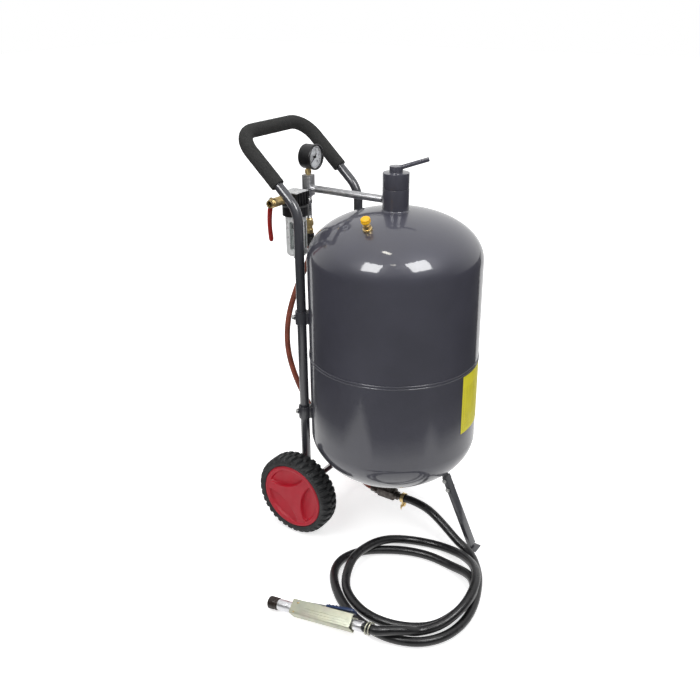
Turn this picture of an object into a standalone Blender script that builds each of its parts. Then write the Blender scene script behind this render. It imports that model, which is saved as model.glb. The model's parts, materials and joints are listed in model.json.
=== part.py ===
"""Wheeled pressure-pot abrasive blaster: steel tank on a tube cart, air train, blast hose and gun.

Frame: +Z up, origin in the middle of the rest face under the front leg's foot, axle along X,
wheels and handle towards +Y. The shapes are drawn round the tank's axis and moved at the end. Metres.
"""

import math

import bmesh
import bpy
from mathutils import Matrix, Vector

GAP = 0.0003

# Tank
TANK_R = 0.2000
WALL = 0.0030
SEAM_LOW = 0.4716
SEAM_HIGH = 0.4810
UPPER_TOP = 0.7070
UPPER_DOME = 0.1120
UPPER_POWER = 2.05
LOWER_END = 0.2700
LOWER_DOME = 0.1300
LOWER_POWER = 1.85
TANK_STEPS = 40

# Filler neck and screw cap
NECK_R = 0.0298
NECK_BORE = 0.0255
NECK_TOP = 0.8665
NECK_FOOT = 0.8100
CAP_R = 0.0297
CAP_TOP = 0.9010
PLUG_R = 0.0246
PLUG_FOOT = 0.8550
CAP_HUB_R = 0.0150
CAP_HUB_TOP = 0.9150
CAP_LEVER_R = 0.0050
CAP_LEVER_LENGTH = 0.086
CAP_LEVER_AZIMUTH = math.radians(-60.0)
CAP_LEVER_RISE = math.radians(16.5)

# Safety valve on the dome, square to its surface
SAFETY_RADIUS = 0.1150

# Cart frame
TUBE_R = 0.0110
TUBE_WALL = 0.0016
UPRIGHT_X = 0.1220
UPRIGHT_Y = 0.1780
UPRIGHT_FOOT = 0.0840
HANDLE_BEND_Z = 0.8190
HANDLE_TOP_Y = 0.3400
HANDLE_TOP_Z = 0.9710
HANDLE_LOW_BEND = 0.070
HANDLE_TOP_BEND = 0.052
FOAM_R = 0.0163
FOAM_START = 0.072
CLAMP_HEIGHTS = (0.3180, 0.5660)
CLAMP_R = 0.0150
CLAMP_TALL = 0.0320

# Wheels
AXLE_Z = 0.1050
AXLE_R = 0.0080
BORE_R = 0.0081
WHEEL_R = 0.1050
TYRE_IN = 0.1355
TYRE_OUT = 0.1905
HUB_R = 0.0840
BRACE_HALF = 0.0045
BRACE_EYE_R = 0.0125
LUGS = 36
LUG_TALL = 0.0055

# Front leg
LEG_TOP = (0.0, -0.1570, 0.1830)
LEG_END = (0.0, -0.2380, 0.0050)
LEG_BOLT_Y = 0.0067
LEG_BOLT_R = 0.0025
FOOT_REST_Y = -0.2350
FOOT_HALF_Y = 0.0140

# Air train: the feed pipe lies at AIR_Z, the separator and the inlet valve at the lower SIDE_Z
AIR_Y = 0.2370
AIR_Z = 0.8380
SIDE_Z = 0.8306
BLOCK_HALF = 0.0110
BLOCK_TOP = 0.8700
BLOCK_FOOT = 0.8210
SEPARATOR_X = -0.0530
HEAD_R = 0.0310
HEAD_HALF_X = 0.0225
HEAD_HALF_Y = 0.0210
HEAD_FOOT = 0.7870
HEAD_SHOULDER = 0.8110
HEAD_TOP = 0.8420
BOWL_FOOT = 0.6900
GUARD_R = 0.0248
GAUGE_Z = 0.9120
PIPE_R = 0.0085

# Hoses
AIR_HOSE_R = 0.0075
BLAST_R = 0.0108
BLAST_BORE_R = 0.0084
TAIL_R = 0.0080
COIL_X = -0.2320
COIL_Y = -0.1650

# Blast gun, lying on the floor
GUN_REAR = (-0.4187, -0.1561, 0.0390)
GUN_DIP = math.radians(-6.5)
GUN_AZIMUTH = math.radians(5.6)
GUN_ROLL = math.radians(58.0)


def clear_scene():
    for obj in list(bpy.data.objects):
        bpy.data.objects.remove(obj, do_unlink=True)


def new_collection(name, hidden=False):
    made = bpy.data.collections.new(name)
    bpy.context.scene.collection.children.link(made)
    made.hide_render = hidden
    return made


clear_scene()
PARTS = new_collection("pressure_pot_blaster")
CUTTERS = new_collection("cutters", hidden=True)


def material(name, colour, roughness, metallic):
    made = bpy.data.materials.new(name)
    made.use_nodes = True
    shader = made.node_tree.nodes["Principled BSDF"]
    shader.inputs["Base Color"].default_value = (*colour, 1.0)
    shader.inputs["Roughness"].default_value = roughness
    shader.inputs["Metallic"].default_value = metallic
    made.diffuse_color = (*colour, 1.0)
    return made


TANK_GREY = material("tank_paint", (0.075, 0.075, 0.085), 0.22, 0.0)
FRAME_GREY = material("frame_paint", (0.085, 0.088, 0.100), 0.30, 0.0)
BLACK = material("black_plastic", (0.012, 0.012, 0.013), 0.40, 0.0)
FOAM = material("foam", (0.022, 0.022, 0.023), 0.90, 0.0)
TYRE_RUBBER = material("tyre_rubber", (0.018, 0.019, 0.019), 0.75, 0.0)
HOSE_RUBBER = material("hose_rubber", (0.012, 0.011, 0.013), 0.45, 0.0)
RED_RUBBER = material("air_hose_rubber", (0.36, 0.085, 0.035), 0.50, 0.0)
RED_PLASTIC = material("hub_plastic", (0.62, 0.016, 0.030), 0.35, 0.0)
RED_LEVER = material("lever_sleeve", (0.55, 0.020, 0.018), 0.35, 0.0)
YELLOW = material("valve_cap_plastic", (0.90, 0.62, 0.010), 0.35, 0.0)
BRASS = material("brass", (0.72, 0.50, 0.17), 0.25, 1.0)
ZINC = material("zinc_plate", (0.60, 0.60, 0.58), 0.35, 1.0)
GALVANISED = material("galvanised_pipe", (0.52, 0.51, 0.47), 0.42, 1.0)
STEEL = material("steel", (0.55, 0.55, 0.55), 0.30, 1.0)
DARK_STEEL = material("blackened_steel", (0.10, 0.09, 0.085), 0.45, 1.0)
PASSIVATED = material("yellow_passivated_zinc", (0.62, 0.60, 0.42), 0.40, 1.0)
ALUMINIUM = material("aluminium", (0.80, 0.81, 0.82), 0.30, 1.0)
LIGHT_GREY = material("light_grey_guard", (0.55, 0.56, 0.55), 0.45, 0.0)
CLEAR = material("clear_bowl", (0.86, 0.90, 0.90), 0.08, 0.0)
WHITE = material("dial_white", (0.85, 0.85, 0.86), 0.50, 0.0)
BLUE = material("blue_sleeve", (0.010, 0.070, 0.260), 0.40, 0.0)
CERAMIC = material("nozzle_ceramic", (0.060, 0.035, 0.028), 0.50, 0.0)


def finish(obj, look, smooth=True):
    """Gives an object its material and its shading, and keeps it in the part's collection."""
    obj.data.materials.clear()
    obj.data.materials.append(look)
    if obj.type == "MESH" and smooth:
        obj.data.shade_smooth()
        obj.data.set_sharp_from_angle(angle=math.radians(35.0))
    return obj


def mesh_object(name, bm, where=PARTS, origin=(0.0, 0.0, 0.0)):
    mesh = bpy.data.meshes.new(name)
    bm.to_mesh(mesh)
    bm.free()
    obj = bpy.data.objects.new(name, mesh)
    obj.location = origin
    where.objects.link(obj)
    if where is CUTTERS:
        obj.hide_render = True
        obj.display_type = "WIRE"
    return obj


def relative(points, origin):
    base = Vector(origin)
    return [Vector(point) - base for point in points]


def box(name, low, high, where=PARTS, origin=(0.0, 0.0, 0.0), bevel=0.0, turn=None):
    """A block between two corners, with its edges rounded by bevel."""
    low, high = relative((low, high), origin)
    bm = bmesh.new()
    bmesh.ops.create_cube(bm, size=1.0)
    size = high - low
    middle = (high + low) / 2.0
    bmesh.ops.scale(bm, vec=size, verts=bm.verts)
    if turn is not None:
        bmesh.ops.rotate(bm, matrix=turn, verts=bm.verts)
    bmesh.ops.translate(bm, vec=middle, verts=bm.verts)
    obj = mesh_object(name, bm, where, origin)
    if bevel:
        soften(obj, bevel)
    return obj


def rod(name, start, end, radius, where=PARTS, origin=(0.0, 0.0, 0.0), sides=20):
    """A round bar between two points."""
    start, end = relative((start, end), origin)
    axis = end - start
    bm = bmesh.new()
    bmesh.ops.create_cone(
        bm,
        cap_ends=True,
        segments=sides,
        radius1=radius,
        radius2=radius,
        depth=axis.length,
    )
    turn = Vector((0.0, 0.0, 1.0)).rotation_difference(axis).to_matrix().to_4x4()
    place = Matrix.Translation((start + end) / 2.0) @ turn
    bmesh.ops.transform(bm, matrix=place, verts=bm.verts)
    return mesh_object(name, bm, where, origin)


def turned(name, profile, where=PARTS, origin=(0.0, 0.0, 0.0), steps=32, axis=(0.0, 0.0, 1.0)):
    """A closed profile of (radius, height) turned about an axis through the object's origin.

    The profile runs down its outer side. A profile that starts and ends on the axis is left open there.
    """
    mesh = bpy.data.meshes.new(name)
    points = [(radius, 0.0, height) for radius, height in profile]
    count = len(points)
    edges = [(index, index + 1) for index in range(count - 1)]
    if profile[0][0] > 1e-6 or profile[-1][0] > 1e-6:
        edges.append((count - 1, 0))
    mesh.from_pydata(points, edges, [])
    obj = bpy.data.objects.new(name, mesh)
    where.objects.link(obj)
    screw = obj.modifiers.new("turn", "SCREW")
    screw.axis = "Z"
    screw.steps = steps
    screw.render_steps = steps
    screw.use_merge_vertices = True
    screw.merge_threshold = 0.00001
    screw.use_smooth_shade = True
    turn = Vector((0.0, 0.0, 1.0)).rotation_difference(Vector(axis))
    obj.rotation_mode = "QUATERNION"
    obj.rotation_quaternion = turn
    obj.location = origin
    if where is CUTTERS:
        obj.hide_render = True
        obj.display_type = "WIRE"
    return solid_copy(obj, where)


def solid_copy(obj, where):
    """Replaces a curve or a modified object with the mesh it evaluates to, keeping its place."""
    bpy.context.view_layer.update()
    graph = bpy.context.evaluated_depsgraph_get()
    mesh = bpy.data.meshes.new_from_object(obj.evaluated_get(graph))
    name = obj.name
    place = obj.matrix_world.copy()
    bpy.data.objects.remove(obj, do_unlink=True)
    bm = bmesh.new()
    bm.from_mesh(mesh)
    bmesh.ops.remove_doubles(bm, verts=bm.verts, dist=0.00001)
    bm.to_mesh(mesh)
    bm.free()
    made = bpy.data.objects.new(name, mesh)
    made.matrix_world = place
    where.objects.link(made)
    if where is CUTTERS:
        made.hide_render = True
        made.display_type = "WIRE"
    return made


def swept(name, points, radius, where=PARTS, origin=(0.0, 0.0, 0.0), wall=0.0, fine=2):
    """A round tube or bar along a path. With a wall it is a pipe, open at both ends."""
    local = relative(points, origin)
    data = bpy.data.curves.new(name, "CURVE")
    data.dimensions = "3D"
    data.bevel_depth = radius
    data.bevel_resolution = fine
    data.use_fill_caps = wall == 0.0
    data.twist_mode = "MINIMUM"
    line = data.splines.new("POLY")
    line.points.add(len(local) - 1)
    for spot, place in zip(line.points, local):
        spot.co = (*place, 1.0)
    obj = bpy.data.objects.new(name, data)
    obj.location = origin
    where.objects.link(obj)
    if wall:
        shell = obj.modifiers.new("wall", "SOLIDIFY")
        shell.thickness = wall
        shell.offset = -1.0
    return solid_copy(obj, where)


def plate(name, outline, thickness, frame, where=PARTS):
    """A flat outline, thick by thickness about its plane. frame places its local XY plane."""
    data = bpy.data.curves.new(name, "CURVE")
    data.dimensions = "2D"
    data.fill_mode = "BOTH"
    data.extrude = thickness / 2.0
    line = data.splines.new("POLY")
    line.points.add(len(outline) - 1)
    for spot, (across, up) in zip(line.points, outline):
        spot.co = (across, up, 0.0, 1.0)
    line.use_cyclic_u = True
    obj = bpy.data.objects.new(name, data)
    where.objects.link(obj)
    obj.matrix_world = frame
    return solid_copy(obj, where)


def soften(obj, width, segments=1, angle=40.0):
    edge = obj.modifiers.new("edges", "BEVEL")
    edge.width = width
    edge.segments = segments
    edge.limit_method = "ANGLE"
    edge.angle_limit = math.radians(angle)


def combine(obj, other, operation):
    step = obj.modifiers.new(operation.lower(), "BOOLEAN")
    step.operation = operation
    step.object = other
    step.solver = "EXACT"
    other.hide_render = True
    other.display_type = "WIRE"


def cut(obj, *cutters):
    for cutter in cutters:
        combine(obj, cutter, "DIFFERENCE")


def join(obj, *others):
    for other in others:
        combine(obj, other, "UNION")


def rounded_path(corners, bends, per_bend=8):
    """A path through corners, each inner corner replaced by an arc of the bend radius given for it."""
    points = [Vector(corners[0])]
    for index in range(1, len(corners) - 1):
        here = Vector(corners[index])
        back = (Vector(corners[index - 1]) - here).normalized()
        onward = (Vector(corners[index + 1]) - here).normalized()
        half = back.angle(onward) / 2.0
        radius = bends[index - 1]
        reach = radius / math.tan(half)
        start = here + back * reach
        centre = here + (back + onward).normalized() * (radius / math.sin(half))
        spin = math.pi - 2.0 * half
        axis = (start - centre).cross(here - centre).normalized()
        for step in range(per_bend + 1):
            turn = Matrix.Rotation(spin * step / per_bend, 3, axis)
            points.append(centre + turn @ (start - centre))
    points.append(Vector(corners[-1]))
    return points


def flowing_path(knots, per_span=6):
    """A smooth path through every knot."""
    knots = [Vector(knot) for knot in knots]
    ends = [2.0 * knots[0] - knots[1], *knots, 2.0 * knots[-1] - knots[-2]]
    points = []
    for index in range(1, len(ends) - 2):
        before, first, second, after = ends[index - 1 : index + 3]
        for step in range(per_span):
            t = step / per_span
            point = 0.5 * (
                2.0 * first
                + (second - before) * t
                + (2.0 * before - 5.0 * first + 4.0 * second - after) * t * t
                + (3.0 * first - before - 3.0 * second + after) * t * t * t
            )
            points.append(point)
    points.append(knots[-1])
    return points


def dome_height(radius, reach, power, edge):
    """Height of a dome above its straight edge, at a distance from the axis."""
    share = min(radius / edge, 1.0)
    return reach * (1.0 - share**power) ** (1.0 / power)


def dome_profile(reach, power, edge, start_radius, count):
    """(radius, height) points of a dome, from start_radius out to its edge."""
    points = []
    first = math.acos(min((start_radius / edge) ** (power / 2.0), 1.0))
    for step in range(count + 1):
        angle = first * (1.0 - step / count)
        radius = edge * math.cos(angle) ** (2.0 / power)
        points.append((radius, dome_height(radius, reach, power, edge)))
    return points


# Tank -----------------------------------------------------------------------------------------


def tank_outline(grow=0.0):
    """The tank's outer shape as a closed profile on the axis, grown outwards."""
    top = dome_profile(UPPER_DOME + grow, UPPER_POWER, TANK_R + grow, 0.0, 14)
    bottom = dome_profile(LOWER_DOME + grow, LOWER_POWER, TANK_R + grow, 0.0, 14)
    profile = [(radius, UPPER_TOP + height) for radius, height in top]
    profile += [(radius, LOWER_END - height) for radius, height in reversed(bottom)]
    return profile


def tank_cutter(name, grow=GAP):
    return turned(name, tank_outline(grow), CUTTERS, steps=TANK_STEPS)


def tank_upper_shell():
    hole = NECK_R + GAP
    outer = dome_profile(UPPER_DOME, UPPER_POWER, TANK_R, hole, 9)
    inner = dome_profile(UPPER_DOME - WALL, UPPER_POWER, TANK_R - WALL, hole, 4)
    profile = [(radius, UPPER_TOP + height) for radius, height in outer]
    profile += [(TANK_R, SEAM_HIGH + GAP), (TANK_R - WALL, SEAM_HIGH + GAP)]
    profile += [(radius, UPPER_TOP + height) for radius, height in reversed(inner)]
    shell = turned("tank_upper_shell", profile, steps=TANK_STEPS)
    return finish(shell, TANK_GREY)


def tank_lower_shell():
    hole = 0.0125
    outer = dome_profile(LOWER_DOME, LOWER_POWER, TANK_R, hole, 9)
    inner = dome_profile(LOWER_DOME - WALL, LOWER_POWER, TANK_R - WALL, hole, 4)
    low = SEAM_LOW - GAP
    profile = [(TANK_R - WALL, low), (TANK_R, low)]
    profile += [(radius, LOWER_END - height) for radius, height in reversed(outer)]
    profile += [(radius, LOWER_END - height) for radius, height in inner]
    shell = turned("tank_lower_shell", profile, steps=TANK_STEPS)
    return finish(shell, TANK_GREY)


def seam_band():
    """The weld band that joins the two drawn halves, with a fine raised bead at each edge."""
    bead = 0.0012
    edge = 0.0011
    profile = [
        (TANK_R - WALL, SEAM_HIGH),
        (TANK_R + bead, SEAM_HIGH),
        (TANK_R + 0.0002, SEAM_HIGH - 2.0 * edge),
        (TANK_R + 0.0002, SEAM_LOW + 2.0 * edge),
        (TANK_R + bead, SEAM_LOW),
        (TANK_R - WALL, SEAM_LOW),
    ]
    return finish(turned("seam_band", profile, steps=TANK_STEPS), TANK_GREY)


# Filler ---------------------------------------------------------------------------------------


def filler_neck():
    profile = [
        (NECK_R - 0.0010, NECK_TOP),
        (NECK_R, NECK_TOP - 0.0010),
        (NECK_R, NECK_FOOT),
        (NECK_BORE, NECK_FOOT),
        (NECK_BORE, NECK_TOP - 0.0034),
        (0.0276, NECK_TOP - 0.0034),
        (0.0276, NECK_TOP),
    ]
    neck = finish(turned("filler_neck", profile, steps=28), TANK_GREY)
    port = rod("neck_port", (0.0, 0.0, AIR_Z), (0.0, 0.05, AIR_Z), PIPE_R + GAP, CUTTERS)
    cut(neck, port)
    return neck


def filler_cap():
    base = NECK_TOP + GAP
    profile = [
        (0.0, CAP_HUB_TOP),
        (CAP_HUB_R - 0.0012, CAP_HUB_TOP),
        (CAP_HUB_R, CAP_HUB_TOP - 0.0012),
        (CAP_HUB_R, CAP_TOP),
        (CAP_R - 0.0015, CAP_TOP),
        (CAP_R, CAP_TOP - 0.0015),
        (CAP_R, base + 0.0010),
        (CAP_R - 0.0010, base),
        (PLUG_R, base),
        (PLUG_R, PLUG_FOOT),
        (0.0, PLUG_FOOT),
    ]
    cap = finish(turned("filler_cap", profile, steps=28), TANK_GREY)
    start, end = cap_lever_ends()
    reach = start + (start - end) * 0.5
    slot = rod("cap_lever_hole", reach, end, CAP_LEVER_R + GAP, CUTTERS, sides=16)
    cut(cap, slot)
    return cap


def cap_lever_ends():
    along = Vector(
        (
            math.cos(CAP_LEVER_AZIMUTH) * math.cos(CAP_LEVER_RISE),
            math.sin(CAP_LEVER_AZIMUTH) * math.cos(CAP_LEVER_RISE),
            math.sin(CAP_LEVER_RISE),
        )
    )
    start = Vector((0.0, 0.0, CAP_HUB_TOP - 0.0065)) - along * (CAP_HUB_R - 0.003)
    return start, start + along * CAP_LEVER_LENGTH


def cap_lever():
    start, end = cap_lever_ends()
    lever = rod("cap_lever", start, end, CAP_LEVER_R, sides=16)
    soften(lever, 0.0015)
    return finish(lever, TANK_GREY)


def cap_seal_ring():
    top = NECK_TOP - 0.0002
    low = NECK_TOP - 0.0031
    inner, outer = 0.02495, 0.02725
    profile = [(inner, top), (outer, top), (outer, low), (inner, low)]
    return finish(turned("cap_seal_ring", profile, steps=28), TYRE_RUBBER)


# Safety valve ---------------------------------------------------------------------------------


def safety_frame():
    """(foot on the dome, direction out of it) of the safety valve, on the -X side of the dome."""
    step = 0.0005
    high = dome_height(SAFETY_RADIUS - step, UPPER_DOME, UPPER_POWER, TANK_R)
    low = dome_height(SAFETY_RADIUS + step, UPPER_DOME, UPPER_POWER, TANK_R)
    slope = (high - low) / (2.0 * step)
    out = Vector((-slope, 0.0, 1.0)).normalized()
    foot = Vector((-SAFETY_RADIUS, 0.0, UPPER_TOP + (high + low) / 2.0))
    return foot, out


def safety_valve():
    foot, out = safety_frame()
    body = turned(
        "safety_valve_body",
        [
            (0.0070, 0.0190),
            (0.0070, 0.0130),
            (0.0088, 0.0125),
            (0.0088, 0.0080),
            (0.0074, 0.0076),
            (0.0074, 0.0056),
            (0.0105, 0.0050),
            (0.0105, -0.0003),
            (0.0066, -0.0003),
            (0.0066, -0.0060),
            (0.0030, -0.0060),
            (0.0030, 0.0060),
            (0.0052, 0.0060),
            (0.0052, 0.0190),
        ],
        origin=foot,
        steps=16,
        axis=out,
    )
    finish(body, BRASS)
    poppet = turned(
        "safety_valve_poppet",
        [
            (0.0, 0.0240),
            (0.0016, 0.0240),
            (0.0016, 0.0092),
            (0.0047, 0.0086),
            (0.0047, 0.0064),
            (0.0, 0.0064),
        ],
        origin=foot,
        steps=16,
        axis=out,
    )
    finish(poppet, BRASS)
    cap = turned(
        "safety_valve_cap",
        [
            (0.0, 0.0310),
            (0.0075, 0.0310),
            (0.0100, 0.0292),
            (0.0108, 0.0262),
            (0.0108, 0.0222),
            (0.0100, 0.0195),
            (0.0019, 0.0195),
            (0.0019, 0.0243),
            (0.0, 0.0243),
        ],
        origin=foot,
        steps=18,
        axis=out,
    )
    finish(cap, YELLOW)
    reach = out * 0.03
    hole = rod("safety_hole", foot - reach, foot + reach, 0.0069, CUTTERS)
    seat = rod("safety_seat", foot - out * 0.0013, foot + reach, 0.0110, CUTTERS)
    return hole, seat


# Cart frame -----------------------------------------------------------------------------------


def frame_corners():
    return [
        (-UPRIGHT_X, UPRIGHT_Y, UPRIGHT_FOOT),
        (-UPRIGHT_X, UPRIGHT_Y, HANDLE_BEND_Z),
        (-UPRIGHT_X, HANDLE_TOP_Y, HANDLE_TOP_Z),
        (UPRIGHT_X, HANDLE_TOP_Y, HANDLE_TOP_Z),
        (UPRIGHT_X, UPRIGHT_Y, HANDLE_BEND_Z),
        (UPRIGHT_X, UPRIGHT_Y, UPRIGHT_FOOT),
    ]


def upright_outward(side):
    """The level direction from the tank axis out through one upright."""
    return Vector((side * UPRIGHT_X, UPRIGHT_Y, 0.0)).normalized()


def handle_frame():
    bends = [HANDLE_LOW_BEND, HANDLE_TOP_BEND, HANDLE_TOP_BEND, HANDLE_LOW_BEND]
    path = rounded_path(frame_corners(), bends, 5)
    frame = finish(swept("handle_frame", path, TUBE_R, wall=TUBE_WALL), FRAME_GREY)
    reach = UPRIGHT_X + 0.03
    axle_hole = rod(
        "frame_axle_hole",
        (-reach, UPRIGHT_Y, AXLE_Z),
        (reach, UPRIGHT_Y, AXLE_Z),
        AXLE_R + 2 * GAP,
        CUTTERS,
        sides=12,
    )
    cut(frame, axle_hole)
    return frame


def foam_grip():
    """The foam sleeve over the top of the handle."""
    corners = [Vector(corner) for corner in frame_corners()]
    left = corners[1] + (corners[2] - corners[1]).normalized() * FOAM_START
    right = corners[4] + (corners[3] - corners[4]).normalized() * FOAM_START
    path = rounded_path([left, corners[2], corners[3], right], [HANDLE_TOP_BEND] * 2, 5)
    grip = swept("foam_grip", path, FOAM_R, wall=FOAM_R - TUBE_R - 0.0011)
    return finish(grip, FOAM)


def tube_clamp(name, side, height, tank):
    """A collar round an upright, on a saddle welded to the tank, held by one radial bolt."""
    out = upright_outward(side)
    centre = Vector((side * UPRIGHT_X, UPRIGHT_Y, height))
    low = centre - Vector((0.0, 0.0, CLAMP_TALL / 2.0))
    high = centre + Vector((0.0, 0.0, CLAMP_TALL / 2.0))
    collar = rod(name, low, high, CLAMP_R, sides=16)
    turn = Matrix.Rotation(math.atan2(out.y, out.x), 3, "Z")
    saddle_middle = centre - out * 0.0140
    half = Vector((0.0110, 0.0115, CLAMP_TALL / 2.0 - 0.002))
    saddle = box(name + "_saddle", saddle_middle - half, saddle_middle + half, CUTTERS, turn=turn)
    boss = rod(
        name + "_boss",
        centre + out * 0.0125,
        centre + out * 0.0172,
        0.0062,
        CUTTERS,
        sides=12,
    )
    join(collar, saddle, boss)
    reach = Vector((0.0, 0.0, CLAMP_TALL))
    bore = rod(name + "_bore", centre - reach, centre + reach, TUBE_R + 2 * GAP, CUTTERS, sides=16)
    cut(collar, bore, tank)
    shank = rod(
        name + "_hole",
        centre - out * 0.0125,
        centre + out * 0.020,
        0.0034,
        CUTTERS,
        sides=8,
    )
    cut(collar, shank)
    finish(collar, FRAME_GREY)
    return collar, shank


def clamp_bolt(name, side, height):
    out = upright_outward(side)
    centre = Vector((side * UPRIGHT_X, UPRIGHT_Y, height))
    bolt = turned(
        name,
        [
            (0.0, 0.0225),
            (0.0040, 0.0225),
            (0.0055, 0.0212),
            (0.0055, 0.0176),
            (0.0030, 0.0176),
            (0.0030, -0.0120),
            (0.0, -0.0120),
        ],
        origin=centre,
        steps=12,
        axis=out,
    )
    return finish(bolt, ZINC)


def clamps_and_bolts(frame, tank):
    for side, label in ((-1.0, "left"), (1.0, "right")):
        for height, level in zip(CLAMP_HEIGHTS, ("lower", "upper")):
            shank = tube_clamp(f"tube_clamp_{level}_{label}", side, height, tank)[1]
            cut(frame, shank)
            clamp_bolt(f"clamp_bolt_{level}_{label}", side, height)


def axle():
    reach = TYRE_OUT - 0.0080
    bar = rod(
        "axle",
        (-reach, UPRIGHT_Y, AXLE_Z),
        (reach, UPRIGHT_Y, AXLE_Z),
        AXLE_R,
        sides=24,
    )
    return finish(bar, ZINC)


def axle_brace(name, side, tank):
    """A flat bar with an eye round the axle, beside the upright, up to a weld on the lower dome."""
    foot = Vector((UPRIGHT_Y, AXLE_Z))
    head = Vector((0.0900, 0.1970))
    along = (head - foot).normalized()
    left = Vector((-along.y, along.x))
    opening = math.asin(BRACE_HALF / BRACE_EYE_R)
    outline = []
    for step in range(13):
        angle = opening + (2.0 * math.pi - 2.0 * opening) * step / 12.0
        outline.append(foot + (along * math.cos(angle) + left * math.sin(angle)) * BRACE_EYE_R)
    outline += [head - left * BRACE_HALF, head + left * BRACE_HALF]
    x = side * 0.1070
    frame = Matrix(
        ((0.0, 0.0, 1.0, x), (1.0, 0.0, 0.0, 0.0), (0.0, 1.0, 0.0, 0.0), (0.0, 0.0, 0.0, 1.0))
    )
    bar = plate(name, outline, 0.0050, frame)
    hole = rod(
        name + "_hole",
        (x - 0.01, UPRIGHT_Y, AXLE_Z),
        (x + 0.01, UPRIGHT_Y, AXLE_Z),
        AXLE_R + 2 * GAP,
        CUTTERS,
        sides=12,
    )
    cut(bar, hole, tank)
    return finish(bar, FRAME_GREY)


# Wheels ---------------------------------------------------------------------------------------


def wheel_spot(side):
    return (side * (TYRE_IN + TYRE_OUT) / 2.0, UPRIGHT_Y, AXLE_Z)


def tyre(name, side):
    """A solid rubber tyre, its tread standing in transverse lugs."""
    half = (TYRE_OUT - TYRE_IN) / 2.0
    inner = HUB_R + GAP
    root = WHEEL_R - LUG_TALL
    profile = [
        (root, half * 0.62),
        (root, -half * 0.62),
        (root - 0.0026, -half),
        (inner, -half * 0.88),
        (inner, half * 0.88),
        (root - 0.0026, half),
    ]
    body = turned(name, profile, origin=wheel_spot(side), steps=2 * LUGS, axis=(side, 0.0, 0.0))
    turn = 2.0 * math.pi / (2 * LUGS)
    for vertex in body.data.vertices:
        radius = math.hypot(vertex.co.x, vertex.co.y)
        step = round(math.atan2(vertex.co.y, vertex.co.x) / turn)
        if step % 2 == 0 and radius > root - 0.0040:
            grow = (radius + LUG_TALL) / radius
            vertex.co.x *= grow
            vertex.co.y *= grow
    return finish(body, TYRE_RUBBER, smooth=False)


def wheel_hub(name, side):
    """The moulded wheel centre: a dished disc with three scooped recesses in its outer face."""
    half = (TYRE_OUT - TYRE_IN) / 2.0
    profile = [
        (0.0, half * 0.90),
        (HUB_R - 0.0090, half * 0.90),
        (HUB_R - 0.0070, half * 0.96),
        (HUB_R, half * 0.90),
        (HUB_R, -half * 0.84),
        (HUB_R - 0.0060, -half * 0.84),
        (HUB_R - 0.0080, half * 0.10),
        (0.0180, half * 0.10),
        (0.0160, -half * 0.96),
        (BORE_R, -half * 0.96),
        (BORE_R, half * 0.72),
        (0.0, half * 0.72),
    ]
    hub = turned(name, profile, origin=wheel_spot(side), steps=30, axis=(side, 0.0, 0.0))
    x = side * (TYRE_IN + TYRE_OUT) / 2.0 + side * (half * 0.90)
    for index in range(3):
        angle = math.radians(70.0 + 120.0 * index)
        cut(hub, hub_recess(f"{name}_recess_{index}", x, angle))
    return finish(hub, RED_PLASTIC)


def hub_recess(name, x, angle):
    """A lens between the rim and an arc that bulges towards the axle."""
    rim = 0.0735
    arc = 0.0920
    centre = 0.0270 + arc
    meet = (rim**2 - arc**2 + centre**2) / (2.0 * centre)
    spread = math.acos(meet / rim)
    sweep = math.asin(rim * math.sin(spread) / arc)
    outline = []
    for step in range(9):
        turn = -spread + 2.0 * spread * step / 8.0
        outline.append((rim * math.cos(turn), rim * math.sin(turn)))
    for step in range(1, 8):
        turn = math.pi - sweep + 2.0 * sweep * step / 8.0
        outline.append((centre + arc * math.cos(turn), arc * math.sin(turn)))
    place = Matrix.Translation((x, UPRIGHT_Y, AXLE_Z))
    lie = Matrix(((0, 0, 1, 0), (1, 0, 0, 0), (0, 1, 0, 0), (0, 0, 0, 1)))
    spin = Matrix.Rotation(angle, 4, "Z")
    return plate(name, outline, 0.0170, place @ lie @ spin, CUTTERS)


# Front leg ------------------------------------------------------------------------------------


def leg_frame():
    """Local axes of the leg: Z runs up it, X is the cart's X and Y faces the tank."""
    top = Vector(LEG_TOP)
    end = Vector(LEG_END)
    up = (top - end).normalized()
    across = Vector((1.0, 0.0, 0.0))
    inward = up.cross(across)
    frame = Matrix(
        (
            (across.x, inward.x, up.x, end.x),
            (across.y, inward.y, up.y, end.y),
            (across.z, inward.z, up.z, end.z),
            (0.0, 0.0, 0.0, 1.0),
        )
    )
    return frame, (top - end).length


def front_leg():
    """A folded channel, its web facing forward."""
    frame, length = leg_frame()
    outline = [
        (-0.0115, 0.0105),
        (-0.0115, 0.0),
        (0.0115, 0.0),
        (0.0115, 0.0105),
        (0.0090, 0.0105),
        (0.0090, 0.0025),
        (-0.0090, 0.0025),
        (-0.0090, 0.0105),
    ]
    leg = plate("front_leg", outline, length, frame @ Matrix.Translation((0, 0, length / 2.0)))
    for index, height in enumerate(bolt_heights(length)):
        cut(leg, leg_bolt_hole(f"leg_bolt_hole_{index}", frame, height))
    cut(leg, box("leg_end_cut", (-0.03, -0.30, -0.05), (0.03, -0.15, 0.0040 + GAP), CUTTERS))
    return finish(leg, FRAME_GREY)


def bolt_heights(length):
    return length - 0.010, length - 0.034


def leg_bolt_hole(name, frame, height):
    start = frame @ Vector((-0.03, LEG_BOLT_Y, height))
    end = frame @ Vector((0.03, LEG_BOLT_Y, height))
    return rod(name, start, end, LEG_BOLT_R + GAP, CUTTERS, sides=12)


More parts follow.
